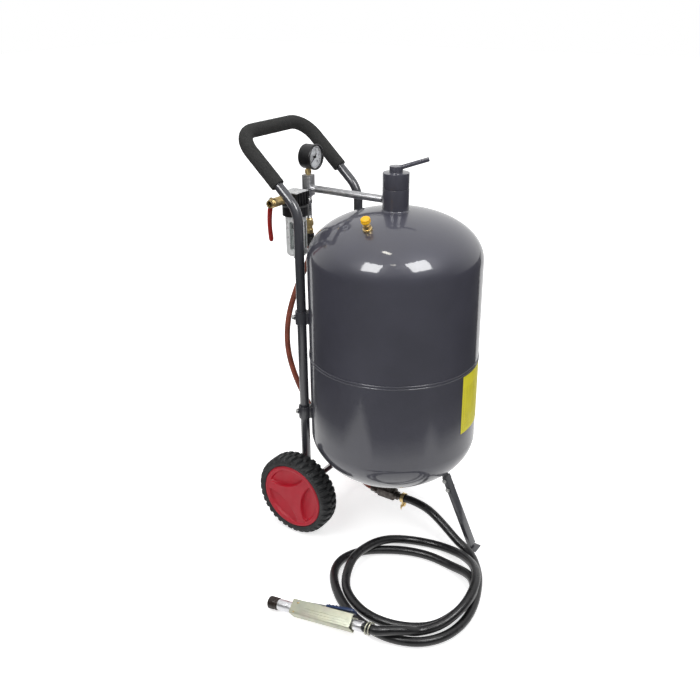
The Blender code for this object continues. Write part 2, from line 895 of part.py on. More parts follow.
def leg_bolt(name, height):
    """A through bolt with its nut, across the leg."""
    frame = leg_frame()[0]
    centre = frame @ Vector((0.0, LEG_BOLT_Y, height))
    bolt = turned(
        name,
        [
            (0.0, 0.0172),
            (LEG_BOLT_R, 0.0172),
            (LEG_BOLT_R, 0.0160),
            (0.0055, 0.0160),
            (0.0055, 0.0118),
            (LEG_BOLT_R, 0.0118),
            (LEG_BOLT_R, -0.0118),
            (0.0055, -0.0118),
            (0.0055, -0.0158),
            (0.0, -0.0158),
        ],
        origin=centre,
        steps=12,
        axis=(1.0, 0.0, 0.0),
    )
    return finish(bolt, ZINC)


def leg_bracket(tank):
    """A flat tongue welded under the dome, inside the channel of the leg."""
    legs, length = leg_frame()
    outline = [(0.0085, 0.0028), (0.0085, 0.0106), (-0.0085, 0.0106), (-0.0085, 0.0028)]
    tall = 0.070
    tongue = plate("leg_bracket", outline, tall, legs @ Matrix.Translation((0, 0, length - 0.008)))
    for index, height in enumerate(bolt_heights(length)):
        cut(tongue, leg_bolt_hole(f"bracket_bolt_hole_{index}", legs, height))
    cut(tongue, tank)
    return finish(tongue, FRAME_GREY, smooth=False)


def leg_foot():
    """The flat foot plate under the leg."""
    low = (-0.0150, FOOT_REST_Y - FOOT_HALF_Y, 0.0)
    high = (0.0150, FOOT_REST_Y + FOOT_HALF_Y, 0.0040)
    foot = box("leg_foot", low, high, bevel=0.001)
    return finish(foot, FRAME_GREY)


# Air train ------------------------------------------------------------------------------------


def manifold_block():
    h = BLOCK_HALF
    block = box(
        "manifold_block",
        (-h, AIR_Y - h, BLOCK_FOOT),
        (h, AIR_Y + h, BLOCK_TOP),
        bevel=0.0012,
    )
    ports = [
        rod("block_pipe_port", (0, AIR_Y - 0.03, AIR_Z), (0, AIR_Y - 0.004, AIR_Z), PIPE_R + GAP, CUTTERS),
        rod("block_head_port", (-0.03, AIR_Y, SIDE_Z), (0.004, AIR_Y, SIDE_Z), 0.0055, CUTTERS),
        rod("block_gauge_port", (0, AIR_Y, AIR_Z), (0, AIR_Y, 0.90), 0.0035, CUTTERS),
        rod("block_drop_port", (0, AIR_Y, 0.80), (0, AIR_Y, AIR_Z), 0.0045, CUTTERS),
    ]
    cut(block, *ports)
    return finish(block, GALVANISED)


def gauge():
    """Bourdon gauge: brass stem, steel case, dial, needle and lens. It reads towards -Y."""
    stem = turned(
        "gauge_stem",
        [
            (0.0048, 0.0162),
            (0.0048, 0.0125),
            (0.0068, 0.0120),
            (0.0068, 0.0003),
            (0.0032, 0.0003),
            (0.0032, -0.0080),
            (0.0012, -0.0080),
            (0.0012, 0.0162),
        ],
        origin=(0.0, AIR_Y, BLOCK_TOP),
        steps=16,
    )
    finish(stem, BRASS)
    case = turned(
        "gauge_case",
        [
            (0.0262, 0.0260),
            (0.0288, 0.0252),
            (0.0294, 0.0200),
            (0.0280, 0.0190),
            (0.0280, -0.0070),
            (0.0250, -0.0100),
            (0.0, -0.0100),
            (0.0, -0.0075),
            (0.0256, -0.0065),
            (0.0256, 0.0230),
            (0.0262, 0.0236),
        ],
        origin=(0.0, AIR_Y, GAUGE_Z),
        steps=28,
        axis=(0.0, -1.0, 0.0),
    )
    finish(case, BLACK)
    entry = rod("case_entry", (0, AIR_Y, GAUGE_Z - 0.05), (0, AIR_Y, GAUGE_Z - 0.02), 0.0052, CUTTERS)
    cut(case, entry)
    dial = turned(
        "gauge_dial",
        [(0.0253, 0.0182), (0.0253, 0.0170), (0.0014, 0.0170), (0.0014, 0.0182)],
        origin=(0.0, AIR_Y, GAUGE_Z),
        steps=28,
        axis=(0.0, -1.0, 0.0),
    )
    finish(dial, WHITE)
    lens = turned(
        "gauge_lens",
        [(0.0, 0.0256), (0.0259, 0.0252), (0.0259, 0.0240), (0.0, 0.0242)],
        origin=(0.0, AIR_Y, GAUGE_Z),
        steps=28,
        axis=(0.0, -1.0, 0.0),
    )
    finish(lens, CLEAR)
    return case


def gauge_needle():
    """The pointer stands at the dial's zero, half way down to the left."""
    zero = math.radians(225.0)
    tip = 0.0205
    outline = [
        (-0.0070, -0.0011),
        (0.0, -0.0010),
        (tip, -0.0003),
        (tip, 0.0003),
        (0.0, 0.0010),
        (-0.0070, 0.0011),
    ]
    front = Matrix.Translation((0.0, AIR_Y - 0.0202, GAUGE_Z)) @ Matrix.Rotation(math.pi / 2.0, 4, "X")
    needle = plate("gauge_needle", outline, 0.0006, front @ Matrix.Rotation(zero, 4, "Z"))
    hub = rod(
        "needle_hub",
        (0.0, AIR_Y - 0.0222, GAUGE_Z),
        (0.0, AIR_Y - 0.0155, GAUGE_Z),
        0.0012,
        CUTTERS,
        sides=12,
    )
    boss = rod(
        "needle_boss",
        (0.0, AIR_Y - 0.0220, GAUGE_Z),
        (0.0, AIR_Y - 0.0195, GAUGE_Z),
        0.0026,
        CUTTERS,
        sides=16,
    )
    join(needle, boss, hub)
    return finish(needle, BLACK)


def feed_pipe():
    """Galvanised pipe from the manifold to the filler neck: it pressurises the tank."""
    start = (0.0, AIR_Y - 0.0065, AIR_Z)
    end = (0.0, NECK_BORE + 0.0005, AIR_Z)
    pipe = swept("feed_pipe", [start, end], PIPE_R, wall=0.0022, fine=3)
    return finish(pipe, GALVANISED)


def separator_head():
    """Die-cast head of the moisture separator: a ribbed block over a round collar, a port each side."""
    centre = (SEPARATOR_X, AIR_Y, 0.0)
    profile = [
        (0.0, HEAD_SHOULDER),
        (HEAD_R - 0.0040, HEAD_SHOULDER),
        (HEAD_R, HEAD_SHOULDER - 0.0030),
        (HEAD_R, HEAD_FOOT),
        (0.0255, HEAD_FOOT),
        (0.0255, HEAD_FOOT + 0.0130),
        (0.0, HEAD_FOOT + 0.0130),
    ]
    head = turned("separator_head", profile, origin=centre, steps=28)
    block = box(
        "head_block",
        (SEPARATOR_X - HEAD_HALF_X, AIR_Y - HEAD_HALF_Y, HEAD_SHOULDER - 0.0050),
        (SEPARATOR_X + HEAD_HALF_X, AIR_Y + HEAD_HALF_Y, HEAD_TOP),
        CUTTERS,
    )
    join(head, block)
    for side in (-1.0, 1.0):
        for index in range(4):
            spot = Vector((SEPARATOR_X + 0.0105 * (index - 1.5), AIR_Y + side * (HEAD_HALF_Y + 0.001), 0.0))
            half = Vector((0.0030, 0.0030, 0.0))
            slot = box(
                f"head_slot_{index}_{int(side)}",
                spot - half + Vector((0.0, 0.0, HEAD_SHOULDER + 0.0010)),
                spot + half + Vector((0.0, 0.0, HEAD_TOP - 0.0040)),
                CUTTERS,
            )
            cut(head, slot)
    outlet = head_port("head_outlet", 0.018, -BLOCK_HALF - GAP - SEPARATOR_X, 0.0095, 16)
    spigot = head_port("head_spigot", 0.030, 0.0010 - SEPARATOR_X, 0.0052, 12)
    inlet = head_port("head_inlet", -0.018, -HEAD_HALF_X - 0.0120, 0.0100, 16)
    join(head, outlet, spigot, inlet)
    passage = head_port("head_passage_out", 0.012, 0.0030 - SEPARATOR_X, 0.0034, 12)
    socket = head_port("head_passage_in", -0.060, -0.012, 0.0068, 16)
    down_out = head_drop("head_down_out", 0.0120)
    down_in = head_drop("head_down_in", -0.0160)
    cut(head, passage, socket, down_out, down_in)
    return finish(head, BLACK)


def head_port(name, start, end, radius, sides):
    """A round bar along the air line, from start to end measured from the separator's axis."""
    return rod(
        name,
        (SEPARATOR_X + start, AIR_Y, SIDE_Z),
        (SEPARATOR_X + end, AIR_Y, SIDE_Z),
        radius,
        CUTTERS,
        sides=sides,
    )


def head_drop(name, offset):
    """A passage from the air line down into the bowl."""
    x = SEPARATOR_X + offset
    return rod(name, (x, AIR_Y, SIDE_Z), (x, AIR_Y, HEAD_FOOT), 0.0032, CUTTERS, sides=10)


def separator_bowl():
    """The clear bowl, open at the top and drained at the foot."""
    top = HEAD_FOOT + 0.0120
    profile = [
        (0.0215, top),
        (0.0215, BOWL_FOOT + 0.0080),
        (0.0165, BOWL_FOOT + 0.0025),
        (0.0040, BOWL_FOOT + 0.0025),
        (0.0040, BOWL_FOOT + 0.0050),
        (0.0155, BOWL_FOOT + 0.0050),
        (0.0190, BOWL_FOOT + 0.0090),
        (0.0190, top),
    ]
    bowl = turned("separator_bowl", profile, origin=(SEPARATOR_X, AIR_Y, 0.0), steps=24)
    return finish(bowl, CLEAR)


def bowl_guard():
    """The guard round the bowl: a light shell with long windows and an open foot."""
    top = HEAD_FOOT + 0.0125
    profile = [
        (GUARD_R, top),
        (GUARD_R, BOWL_FOOT + 0.0060),
        (GUARD_R - 0.0045, BOWL_FOOT),
        (0.0085, BOWL_FOOT),
        (0.0085, BOWL_FOOT + 0.0018),
        (GUARD_R - 0.0055, BOWL_FOOT + 0.0018),
        (GUARD_R - 0.0024, BOWL_FOOT + 0.0065),
        (GUARD_R - 0.0024, top),
    ]
    guard = turned("bowl_guard", profile, origin=(SEPARATOR_X, AIR_Y, 0.0), steps=24)
    for index in range(4):
        angle = math.radians(30.0 + 90.0 * index)
        out = Vector((math.cos(angle), math.sin(angle), 0.0))
        turn = Matrix.Rotation(angle, 3, "Z")
        middle = Vector((SEPARATOR_X, AIR_Y, (BOWL_FOOT + HEAD_FOOT) / 2.0)) + out * GUARD_R
        half = Vector((0.0080, 0.0040, 0.0260))
        window = box(f"guard_window_{index}", middle - half, middle + half, CUTTERS, turn=turn)
        cut(guard, window)
    return finish(guard, LIGHT_GREY)


def filter_element():
    """The porous element under the head, on the outlet side."""
    profile = [
        (0.0100, HEAD_FOOT + 0.0120),
        (0.0100, HEAD_FOOT - 0.0300),
        (0.0125, HEAD_FOOT - 0.0310),
        (0.0125, HEAD_FOOT - 0.0350),
        (0.0, HEAD_FOOT - 0.0350),
        (0.0, HEAD_FOOT - 0.0320),
        (0.0070, HEAD_FOOT - 0.0300),
        (0.0070, HEAD_FOOT + 0.0120),
    ]
    spot = (SEPARATOR_X + 0.0040, AIR_Y, 0.0)
    return finish(turned("filter_element", profile, origin=spot, steps=16), WHITE)


def drain_knob():
    profile = [
        (0.0, BOWL_FOOT + 0.0090),
        (0.0036, BOWL_FOOT + 0.0090),
        (0.0036, BOWL_FOOT - 0.0010),
        (0.0072, BOWL_FOOT - 0.0016),
        (0.0080, BOWL_FOOT - 0.0090),
        (0.0030, BOWL_FOOT - 0.0100),
        (0.0, BOWL_FOOT - 0.0100),
    ]
    knob = turned("drain_knob", profile, origin=(SEPARATOR_X, AIR_Y, 0.0), steps=16)
    for index in range(6):
        angle = 2.0 * math.pi * index / 6.0
        spot = Vector((SEPARATOR_X + 0.0090 * math.cos(angle), AIR_Y + 0.0090 * math.sin(angle), 0.0))
        flute = rod(
            f"knob_flute_{index}",
            spot + Vector((0.0, 0.0, BOWL_FOOT - 0.0120)),
            spot + Vector((0.0, 0.0, BOWL_FOOT - 0.0020)),
            0.0022,
            CUTTERS,
            sides=8,
        )
        cut(knob, flute)
    return finish(knob, BLACK)


VALVE_X = -0.1200


def inlet_valve():
    """Ball valve on the inlet: body, ball and a sleeved lever that hangs down when it is shut."""
    body = turned(
        "inlet_valve_body",
        [
            (0.0082, 0.0280),
            (0.0082, 0.0190),
            (0.0100, 0.0185),
            (0.0106, 0.0100),
            (0.0106, -0.0100),
            (0.0092, -0.0150),
            (0.0066, -0.0150),
            (0.0066, -0.0250),
            (0.0045, -0.0250),
            (0.0045, -0.0072),
            (0.0078, -0.0072),
            (0.0078, 0.0072),
            (0.0060, 0.0110),
            (0.0060, 0.0280),
        ],
        origin=(VALVE_X, AIR_Y, SIDE_Z),
        steps=16,
        axis=(-1.0, 0.0, 0.0),
    )
    boss = rod(
        "valve_stem_boss",
        (VALVE_X, AIR_Y + 0.0070, SIDE_Z),
        (VALVE_X, AIR_Y + 0.0150, SIDE_Z),
        0.0068,
        CUTTERS,
        sides=12,
    )
    chamber = rod(
        "valve_chamber",
        (VALVE_X - 0.0071, AIR_Y, SIDE_Z),
        (VALVE_X + 0.0071, AIR_Y, SIDE_Z),
        0.0078,
        CUTTERS,
        sides=16,
    )
    stem_hole = rod(
        "valve_stem_hole",
        (VALVE_X, AIR_Y, SIDE_Z),
        (VALVE_X, AIR_Y + 0.0300, SIDE_Z),
        0.0031,
        CUTTERS,
        sides=16,
    )
    join(body, boss)
    cut(body, chamber, stem_hole)
    finish(body, BRASS)
    ball = inlet_ball()
    lever = inlet_lever()
    return body, ball, lever


def inlet_ball():
    """The bored ball, turned across the flow, so that the valve is shut."""
    pivot = (VALVE_X, AIR_Y, SIDE_Z)
    bm = bmesh.new()
    bmesh.ops.create_uvsphere(bm, u_segments=14, v_segments=8, radius=0.0069)
    ball = mesh_object("inlet_valve_ball", bm, origin=pivot)
    bore = rod(
        "ball_bore",
        (VALVE_X, AIR_Y, SIDE_Z - 0.02),
        (VALVE_X, AIR_Y, SIDE_Z + 0.02),
        0.0036,
        CUTTERS,
        sides=16,
    )
    cut(ball, bore)
    return finish(ball, STEEL)


def inlet_lever():
    """The lever, its stem and its nut turn as one about the stem's axis."""
    pivot = (VALVE_X, AIR_Y, SIDE_Z)
    y = AIR_Y + 0.0175
    outline = [(0.0078 * math.cos(a), 0.0078 * math.sin(a)) for a in arc_angles(20.0, 160.0, 6)]
    outline += [(-0.0070, -0.0200), (-0.0082, -0.0480), (-0.0050, -0.0900)]
    outline += [(0.0010, -0.0935), (0.0064, -0.0910), (0.0048, -0.0480), (0.0066, -0.0200)]
    frame = Matrix.Translation((VALVE_X, y, SIDE_Z)) @ Matrix.Rotation(math.pi / 2.0, 4, "X")
    lever = plate("inlet_valve_lever", outline, 0.0040, frame)
    soften(lever, 0.0010)
    stem = rod(
        "lever_stem",
        (VALVE_X, AIR_Y + 0.0076, SIDE_Z),
        (VALVE_X, AIR_Y + 0.0230, SIDE_Z),
        0.0028,
        CUTTERS,
        sides=16,
    )
    nut = rod(
        "lever_nut",
        (VALVE_X, AIR_Y + 0.0190, SIDE_Z),
        (VALVE_X, AIR_Y + 0.0222, SIDE_Z),
        0.0050,
        CUTTERS,
        sides=6,
    )
    join(lever, nut, stem)
    return move_origin(finish(lever, RED_LEVER), pivot)


def arc_angles(start, end, count):
    return [math.radians(start + (end - start) * step / (count - 1)) for step in range(count)]


def move_origin(obj, spot):
    """Puts the object's origin on a point without moving its shape."""
    shift = obj.matrix_world.inverted() @ Vector(spot)
    obj.data.transform(Matrix.Translation(-shift))
    obj.matrix_world = obj.matrix_world @ Matrix.Translation(shift)
    return obj


def drop_line():
    """The branch that falls from the manifold to the air hose."""
    centre = (0.0, AIR_Y, 0.0)
    nipple = turned(
        "drop_nipple",
        [
            (0.0042, BLOCK_FOOT + 0.0040),
            (0.0042, BLOCK_FOOT - 0.0003),
            (0.0080, BLOCK_FOOT - 0.0003),
            (0.0080, BLOCK_FOOT - 0.0180),
            (0.0064, BLOCK_FOOT - 0.0190),
            (0.0064, BLOCK_FOOT - 0.0550),
            (0.0035, BLOCK_FOOT - 0.0550),
            (0.0025, BLOCK_FOOT - 0.0200),
            (0.0025, BLOCK_FOOT + 0.0040),
        ],
        origin=centre,
        steps=16,
    )
    finish(nipple, STEEL)
    top = BLOCK_FOOT - 0.0553
    fitting = turned(
        "drop_fitting",
        [
            (0.0075, top),
            (0.0095, top - 0.0060),
            (0.0095, top - 0.0170),
            (0.0070, top - 0.0190),
            (0.0070, top - 0.0250),
            (0.0086, top - 0.0256),
            (0.0086, top - 0.0360),
            (0.0032, top - 0.0360),
            (0.0032, top),
        ],
        origin=centre,
        steps=16,
    )
    finish(fitting, BRASS)
    low = top - 0.0363
    ferrule = turned(
        "hose_ferrule",
        [
            (0.0098, low),
            (0.0105, low - 0.0020),
            (0.0105, low - 0.0280),
            (0.0098, low - 0.0300),
            (0.0079, low - 0.0300),
            (0.0079, low - 0.0040),
            (0.0034, low - 0.0030),
            (0.0034, low),
        ],
        origin=centre,
        steps=16,
    )
    finish(ferrule, BLACK)
    return low - 0.0050


def air_hose(top):
    """The air hose bows out behind the tank and runs under it to the mixing valve."""
    knots = [
        (0.0, AIR_Y, top),
        (0.0, AIR_Y, top - 0.0280),
        (0.0, AIR_Y, top - 0.0400),
        (-0.0030, 0.2460, 0.6500),
        (-0.0120, 0.2690, 0.5980),
        (-0.0200, 0.2960, 0.5100),
        (-0.0220, 0.3020, 0.4240),
        (-0.0200, 0.2820, 0.3440),
        (-0.0150, 0.2420, 0.2660),
        (-0.0080, 0.1880, 0.1860),
        (-0.0020, 0.1300, 0.1210),
        (0.0, 0.0900, 0.0840),
        (0.0, 0.0690, MIX_Z),
        (0.0, 0.0580, MIX_Z),
        (0.0, 0.0470, MIX_Z),
    ]
    hose = swept("air_hose", flowing_path(knots, 3), AIR_HOSE_R)
    return finish(hose, RED_RUBBER)


# Mixing valve and blast hose ------------------------------------------------------------------

MIX_Z = 0.0730
MIX_FRONT = -0.0130
MIX_BACK = 0.0460


def mixing_valve():
    """Tee under the tank: air enters at the back, abrasive falls in from above, both leave forward."""
    body = box(
        "mixing_valve",
        (-0.0130, MIX_FRONT, MIX_Z - 0.0120),
        (0.0130, MIX_BACK - 0.0100, MIX_Z + 0.0120),
        bevel=0.0015,
    )
    riser = rod("mix_riser", (0, 0.0, MIX_Z), (0, 0.0, 0.1560), 0.0118, CUTTERS)
    collar = rod("mix_collar", (0, 0.0, 0.1040), (0, 0.0, 0.1180), 0.0170, CUTTERS, sides=6)
    socket = rod("mix_socket", (0, 0.0300, MIX_Z), (0, MIX_BACK + 0.0120, MIX_Z), 0.0110, CUTTERS)
    spout = rod("mix_spout", (0, -0.0100, MIX_Z), (0, MIX_FRONT - 0.0400, MIX_Z), TAIL_R, CUTTERS)
    join(body, riser, collar, socket, spout)
    bore = rod("mix_bore", (0, -0.06, MIX_Z), (0, 0.04, MIX_Z), 0.0058, CUTTERS, sides=20)
    hose_bore = rod("mix_hose_bore", (0, 0.0400, MIX_Z), (0, 0.08, MIX_Z), 0.0082, CUTTERS, sides=20)
    fall = rod("mix_fall", (0, 0.0, MIX_Z), (0, 0.0, 0.20), 0.0080, CUTTERS, sides=20)
    cut(body, bore, hose_bore, fall)
    return finish(body, DARK_STEEL)


def coil_point(turn, radius, height):
    angle = math.radians(turn)
    return (COIL_X + radius * math.cos(angle), COIL_Y + radius * math.sin(angle), height)


def blast_hose_path():
    """From the mixing valve to the floor, two turns laid clockwise, and out to the gun."""
    floor = BLAST_R + 0.0012
    over = floor + 0.0228
    knots = [
        (0.0, MIX_FRONT - 0.0150, MIX_Z),
        (0.0, MIX_FRONT - 0.0370, MIX_Z),
        (0.0, MIX_FRONT - 0.0520, MIX_Z),
        (-0.0040, -0.1100, 0.0680),
        (-0.0150, -0.1600, 0.0470),
        (-0.0300, -0.2080, 0.0250),
        (-0.0420, -0.2490, floor + 0.0015),
    ]
    lay = [
        (-42.0, 0.188, floor),
        (-58.0, 0.175, floor),
        (-77.0, 0.170, floor),
        (-97.0, 0.174, floor),
        (-117.0, 0.180, floor),
        (-136.0, 0.179, floor),
        (-155.0, 0.168, floor),
        (-173.0, 0.156, floor),
        (-193.0, 0.147, floor),
        (-214.0, 0.144, floor),
        (-235.0, 0.150, floor),
        (-255.0, 0.1635, floor),
        (-273.0, 0.169, floor),
        (-292.0, 0.156, floor),
        (-312.0, 0.138, floor),
        (-336.0, 0.130, floor),
        (-362.0, 0.132, floor),
        (-388.0, 0.143, floor),
        (-410.0, 0.160, floor + 0.0150),
        (-432.0, 0.166, floor + 0.0228),
        (-455.0, 0.156, floor + 0.0150),
        (-480.0, 0.144, floor + 0.001),
        (-508.0, 0.130, floor),
        (-538.0, 0.122, floor),
        (-565.0, 0.120, floor),
        (-592.0, 0.126, floor),
        (-612.0, 0.130, floor + 0.008),
        (-632.0, 0.134, floor + 0.021),
        (-650.0, 0.137, over + 0.001),
        (-666.0, 0.143, over + 0.001),
        (-682.0, 0.156, floor + 0.015),
        (-700.0, 0.170, floor + 0.003),
        (-720.0, 0.179, floor),
        (-740.0, 0.179, floor + 0.009),
        (-758.0, 0.174, floor + 0.0240),
        (-775.0, 0.170, floor + 0.0392),
        (-795.0, 0.168, floor + 0.0460),
        (-816.0, 0.167, floor + 0.0350),
        (-838.0, 0.163, floor + 0.0175),
        (-856.0, 0.1570, floor + 0.0100),
    ]
    knots += [coil_point(turn, radius, height) for turn, radius, height in lay]
    tail = gun_frame()
    knots += [(-0.3660, -0.2600, floor + 0.0210), (-0.3870, -0.2380, floor + 0.0275)]
    knots += [tail @ Vector((0.0, along, 0.0)) for along in (-0.0580, -0.0450, HOSE_END)]
    return flowing_path(knots, 2)


def blast_hose():
    path = blast_hose_path()
    hose = swept("blast_hose", path, BLAST_R)
    for label, start, onward in (("inlet", path[0], path[2]), ("gun", path[-1], path[-3])):
        inward = (onward - start).normalized()
        bore = rod(
            f"hose_bore_{label}",
            start - inward * 0.01,
            start + inward * 0.034,
            BLAST_BORE_R,
            CUTTERS,
        )
        cut(hose, bore)
    return finish(hose, HOSE_RUBBER)


def outlet_clamp():
    """Band clamp that holds the blast hose on the mixing valve, its screw below."""
    y = MIX_FRONT - 0.0230
    half = 0.0045
    band = rod("outlet_clamp", (0, y - half, MIX_Z), (0, y + half, MIX_Z), BLAST_R + 0.0019)
    ear = box(
        "clamp_ear",
        (-0.0030, y - half, MIX_Z - 0.0250),
        (0.0030, y + half, MIX_Z - 0.0120),
        CUTTERS,
    )
    screw_z = MIX_Z - 0.0210
    screw = rod("clamp_screw", (-0.0110, y, screw_z), (0.0110, y, screw_z), 0.0026, CUTTERS, sides=12)
    wing = rod("clamp_wing", (-0.0130, y, screw_z), (-0.0080, y, screw_z), 0.0048, CUTTERS, sides=12)
    join(band, ear, screw, wing)
    bore = rod("clamp_bore", (0, y - 0.02, MIX_Z), (0, y + 0.02, MIX_Z), BLAST_R + 2 * GAP, CUTTERS)
    cut(band, bore)
    return finish(band, BRASS)


# Blast gun ------------------------------------------------------------------------------------


def gun_frame():
    """Local axes of the gun: Y runs forward along it and Z is its lever side."""
    place = Matrix.Translation(GUN_REAR)
    swing = Matrix.Rotation(GUN_AZIMUTH, 4, "Z")
    tilt = Matrix.Rotation(GUN_DIP, 4, "X")
    roll = Matrix.Rotation(GUN_ROLL, 4, "Y")
    return place @ swing @ tilt @ roll


GUN_LENGTH = 0.1490
GUN_HALF = 0.0155
LEVER_LIFT = math.radians(4.0)
PIVOT_Y = 0.1350
PIVOT_Z = 0.0127
HOSE_END = -0.0250
TAIL_END = -0.0520
NOZZLE_BACK = 0.0370


def gun_place(obj):
    obj.matrix_world = gun_frame() @ obj.matrix_world
    return obj


def gun_body():
    """The channel-shaped handle that the hose tube runs through, open on the lever side."""
    h = GUN_HALF
    body = box("gun_body", (-h, 0.0, -0.0150), (h, GUN_LENGTH, 0.0170), bevel=0.0025)
    trough = box("gun_trough", (-h + 0.0022, -0.02, -0.0126), (h - 0.0022, 0.1230, 0.03), CUTTERS)
    nose = rod("gun_nose_bore", (0, 0.10, 0), (0, 0.20, 0), 0.0122, CUTTERS)
    front = box("gun_front_slot", (-h + 0.0022, 0.1229, 0.0060), (h - 0.0022, 0.1430, 0.03), CUTTERS)
    for helper in (trough, nose, front):
        gun_place(helper)
    pivot_ends = ((-0.03, PIVOT_Y, PIVOT_Z), (0.03, PIVOT_Y, PIVOT_Z))
    pivot = gun_place(rod("gun_pivot_hole", *pivot_ends, 0.0026, CUTTERS, sides=16))
    gun_place(body)
    cut(body, trough, nose, front, pivot)
    return finish(body, PASSIVATED)


def gun_lever():
    """The dead-man lever: a folded strip on a cross pin near the front of the handle."""
    lift = Matrix.Translation((0.0, PIVOT_Y, PIVOT_Z)) @ Matrix.Rotation(-LEVER_LIFT, 4, "X")
    back = lift @ Matrix.Translation((0.0, -PIVOT_Y, -PIVOT_Z))
    lever = box("gun_lever", (-0.0105, 0.0060, 0.0150), (0.0105, 0.1410, 0.0175))
    ear = box("lever_ear", (-0.0105, 0.1280, 0.0100), (0.0105, 0.1420, 0.0175), CUTTERS)
    pin = rod("lever_pin", (-0.0172, PIVOT_Y, PIVOT_Z), (0.0172, PIVOT_Y, PIVOT_Z), 0.0025, CUTTERS, sides=16)
    for piece in (lever, ear, pin):
        piece.matrix_world = gun_frame() @ back @ piece.matrix_world
    join(lever, ear, pin)
    grip = box("gun_grip", (-0.0125, 0.0040, 0.0133), (0.0125, 0.0700, 0.0215), bevel=0.0025)
    slot = box("grip_slot", (-0.0108, 0.0057, 0.0147), (0.0108, 0.1200, 0.0178), CUTTERS)
    for piece in (grip, slot):
        piece.matrix_world = gun_frame() @ back @ piece.matrix_world
    cut(grip, slot)
    finish(lever, ZINC)
    finish(grip, BLUE)
    pivot = gun_frame() @ Vector((0.0, PIVOT_Y, PIVOT_Z))
    return move_origin(lever, pivot), move_origin(grip, pivot)


def gun_barrel():
    """The tube through the handle: hose tail behind, nozzle holder in front."""
    front = GUN_LENGTH
    profile = [
        (0.0124, front + NOZZLE_BACK),
        (0.0124, front + 0.0030),
        (0.0118, front + 0.0025),
        (0.0118, front - 0.0054),
        (0.0092, front - 0.0057),
        (0.0092, -0.0020),
        (0.0112, -0.0025),
        (0.0112, HOSE_END + 0.0025),
        (TAIL_R, HOSE_END + 0.0005),
        (TAIL_R, TAIL_END),
        (0.0058, TAIL_END),
        (0.0058, front + NOZZLE_BACK),
    ]
    barrel = turned("gun_barrel", profile, steps=18, axis=(0.0, 1.0, 0.0))
    gun_place(barrel)
    return finish(barrel, ALUMINIUM)


def gun_nozzle():
    """The ceramic nozzle with its clamping nut."""
    front = GUN_LENGTH + NOZZLE_BACK + GAP
    profile = [
        (0.0120, front + 0.0250),
        (0.0140, front + 0.0230),
        (0.0140, front + 0.0020),
        (0.0125, front),
        (0.0050, front),
        (0.0040, front + 0.0250),
    ]
    nozzle = turned("gun_nozzle", profile, steps=18, axis=(0.0, 1.0, 0.0))
    gun_place(nozzle)
    return finish(nozzle, CERAMIC)


def gun_clamp():
    """Double wire clamp that holds the hose on the gun's tail."""
    radius = BLAST_R + 0.0017
    points = []
    turns = 2.0
    count = 28
    for step in range(count + 1):
        angle = 2.0 * math.pi * turns * step / count
        y = -0.0430 + 0.0090 * step / count
        points.append((radius * math.cos(angle), y, radius * math.sin(angle)))
    last = Vector(points[-1])
    first = Vector(points[0])
    points.insert(0, first + Vector((0.0035, -0.0020, -0.0080)))
    points.append(last + Vector((0.0035, 0.0020, 0.0110)))
    clamp = swept("gun_clamp", points, 0.0013, fine=0)
    gun_place(clamp)
    return finish(clamp, PASSIVATED)


def stand_on_foot():
    """Moves the whole part so that its origin is the middle of the rest face under the leg's foot."""
    for collection in (PARTS, CUTTERS):
        for obj in collection.objects:
            obj.location.y -= FOOT_REST_Y


def build():
    tank = tank_cutter("tank_clearance")
    upper = tank_upper_shell()
    tank_lower_shell()
    seam_band()
    filler_neck()
    filler_cap()
    cap_lever()
    cap_seal_ring()
    hole, seat = safety_valve()
    cut(upper, hole, seat)
    frame = handle_frame()
    foam_grip()
    clamps_and_bolts(frame, tank)
    axle()
    for side, label in ((-1.0, "left"), (1.0, "right")):
        axle_brace(f"axle_brace_{label}", side, tank)
        tyre(f"tyre_{label}", side)
        wheel_hub(f"wheel_hub_{label}", side)
    front_leg()
    length = leg_frame()[1]
    for label, height in zip(("upper", "lower"), bolt_heights(length)):
        leg_bolt(f"leg_bolt_{label}", height)
    leg_bracket(tank)
    leg_foot()
    manifold_block()
    gauge()
    gauge_needle()
    feed_pipe()
    separator_head()
    separator_bowl()
    bowl_guard()
    filter_element()
    drain_knob()
    inlet_valve()
    air_hose(drop_line())
    mixing_valve()
    blast_hose()
    outlet_clamp()
    gun_body()
    gun_lever()
    gun_barrel()
    gun_nozzle()
    gun_clamp()
    stand_on_foot()


build()
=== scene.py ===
"""Looks of a wheeled pressure pot abrasive blaster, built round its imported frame. Metres, +Z up."""

import json
import math

import bmesh
import bpy
from mathutils import Matrix, Vector, noise

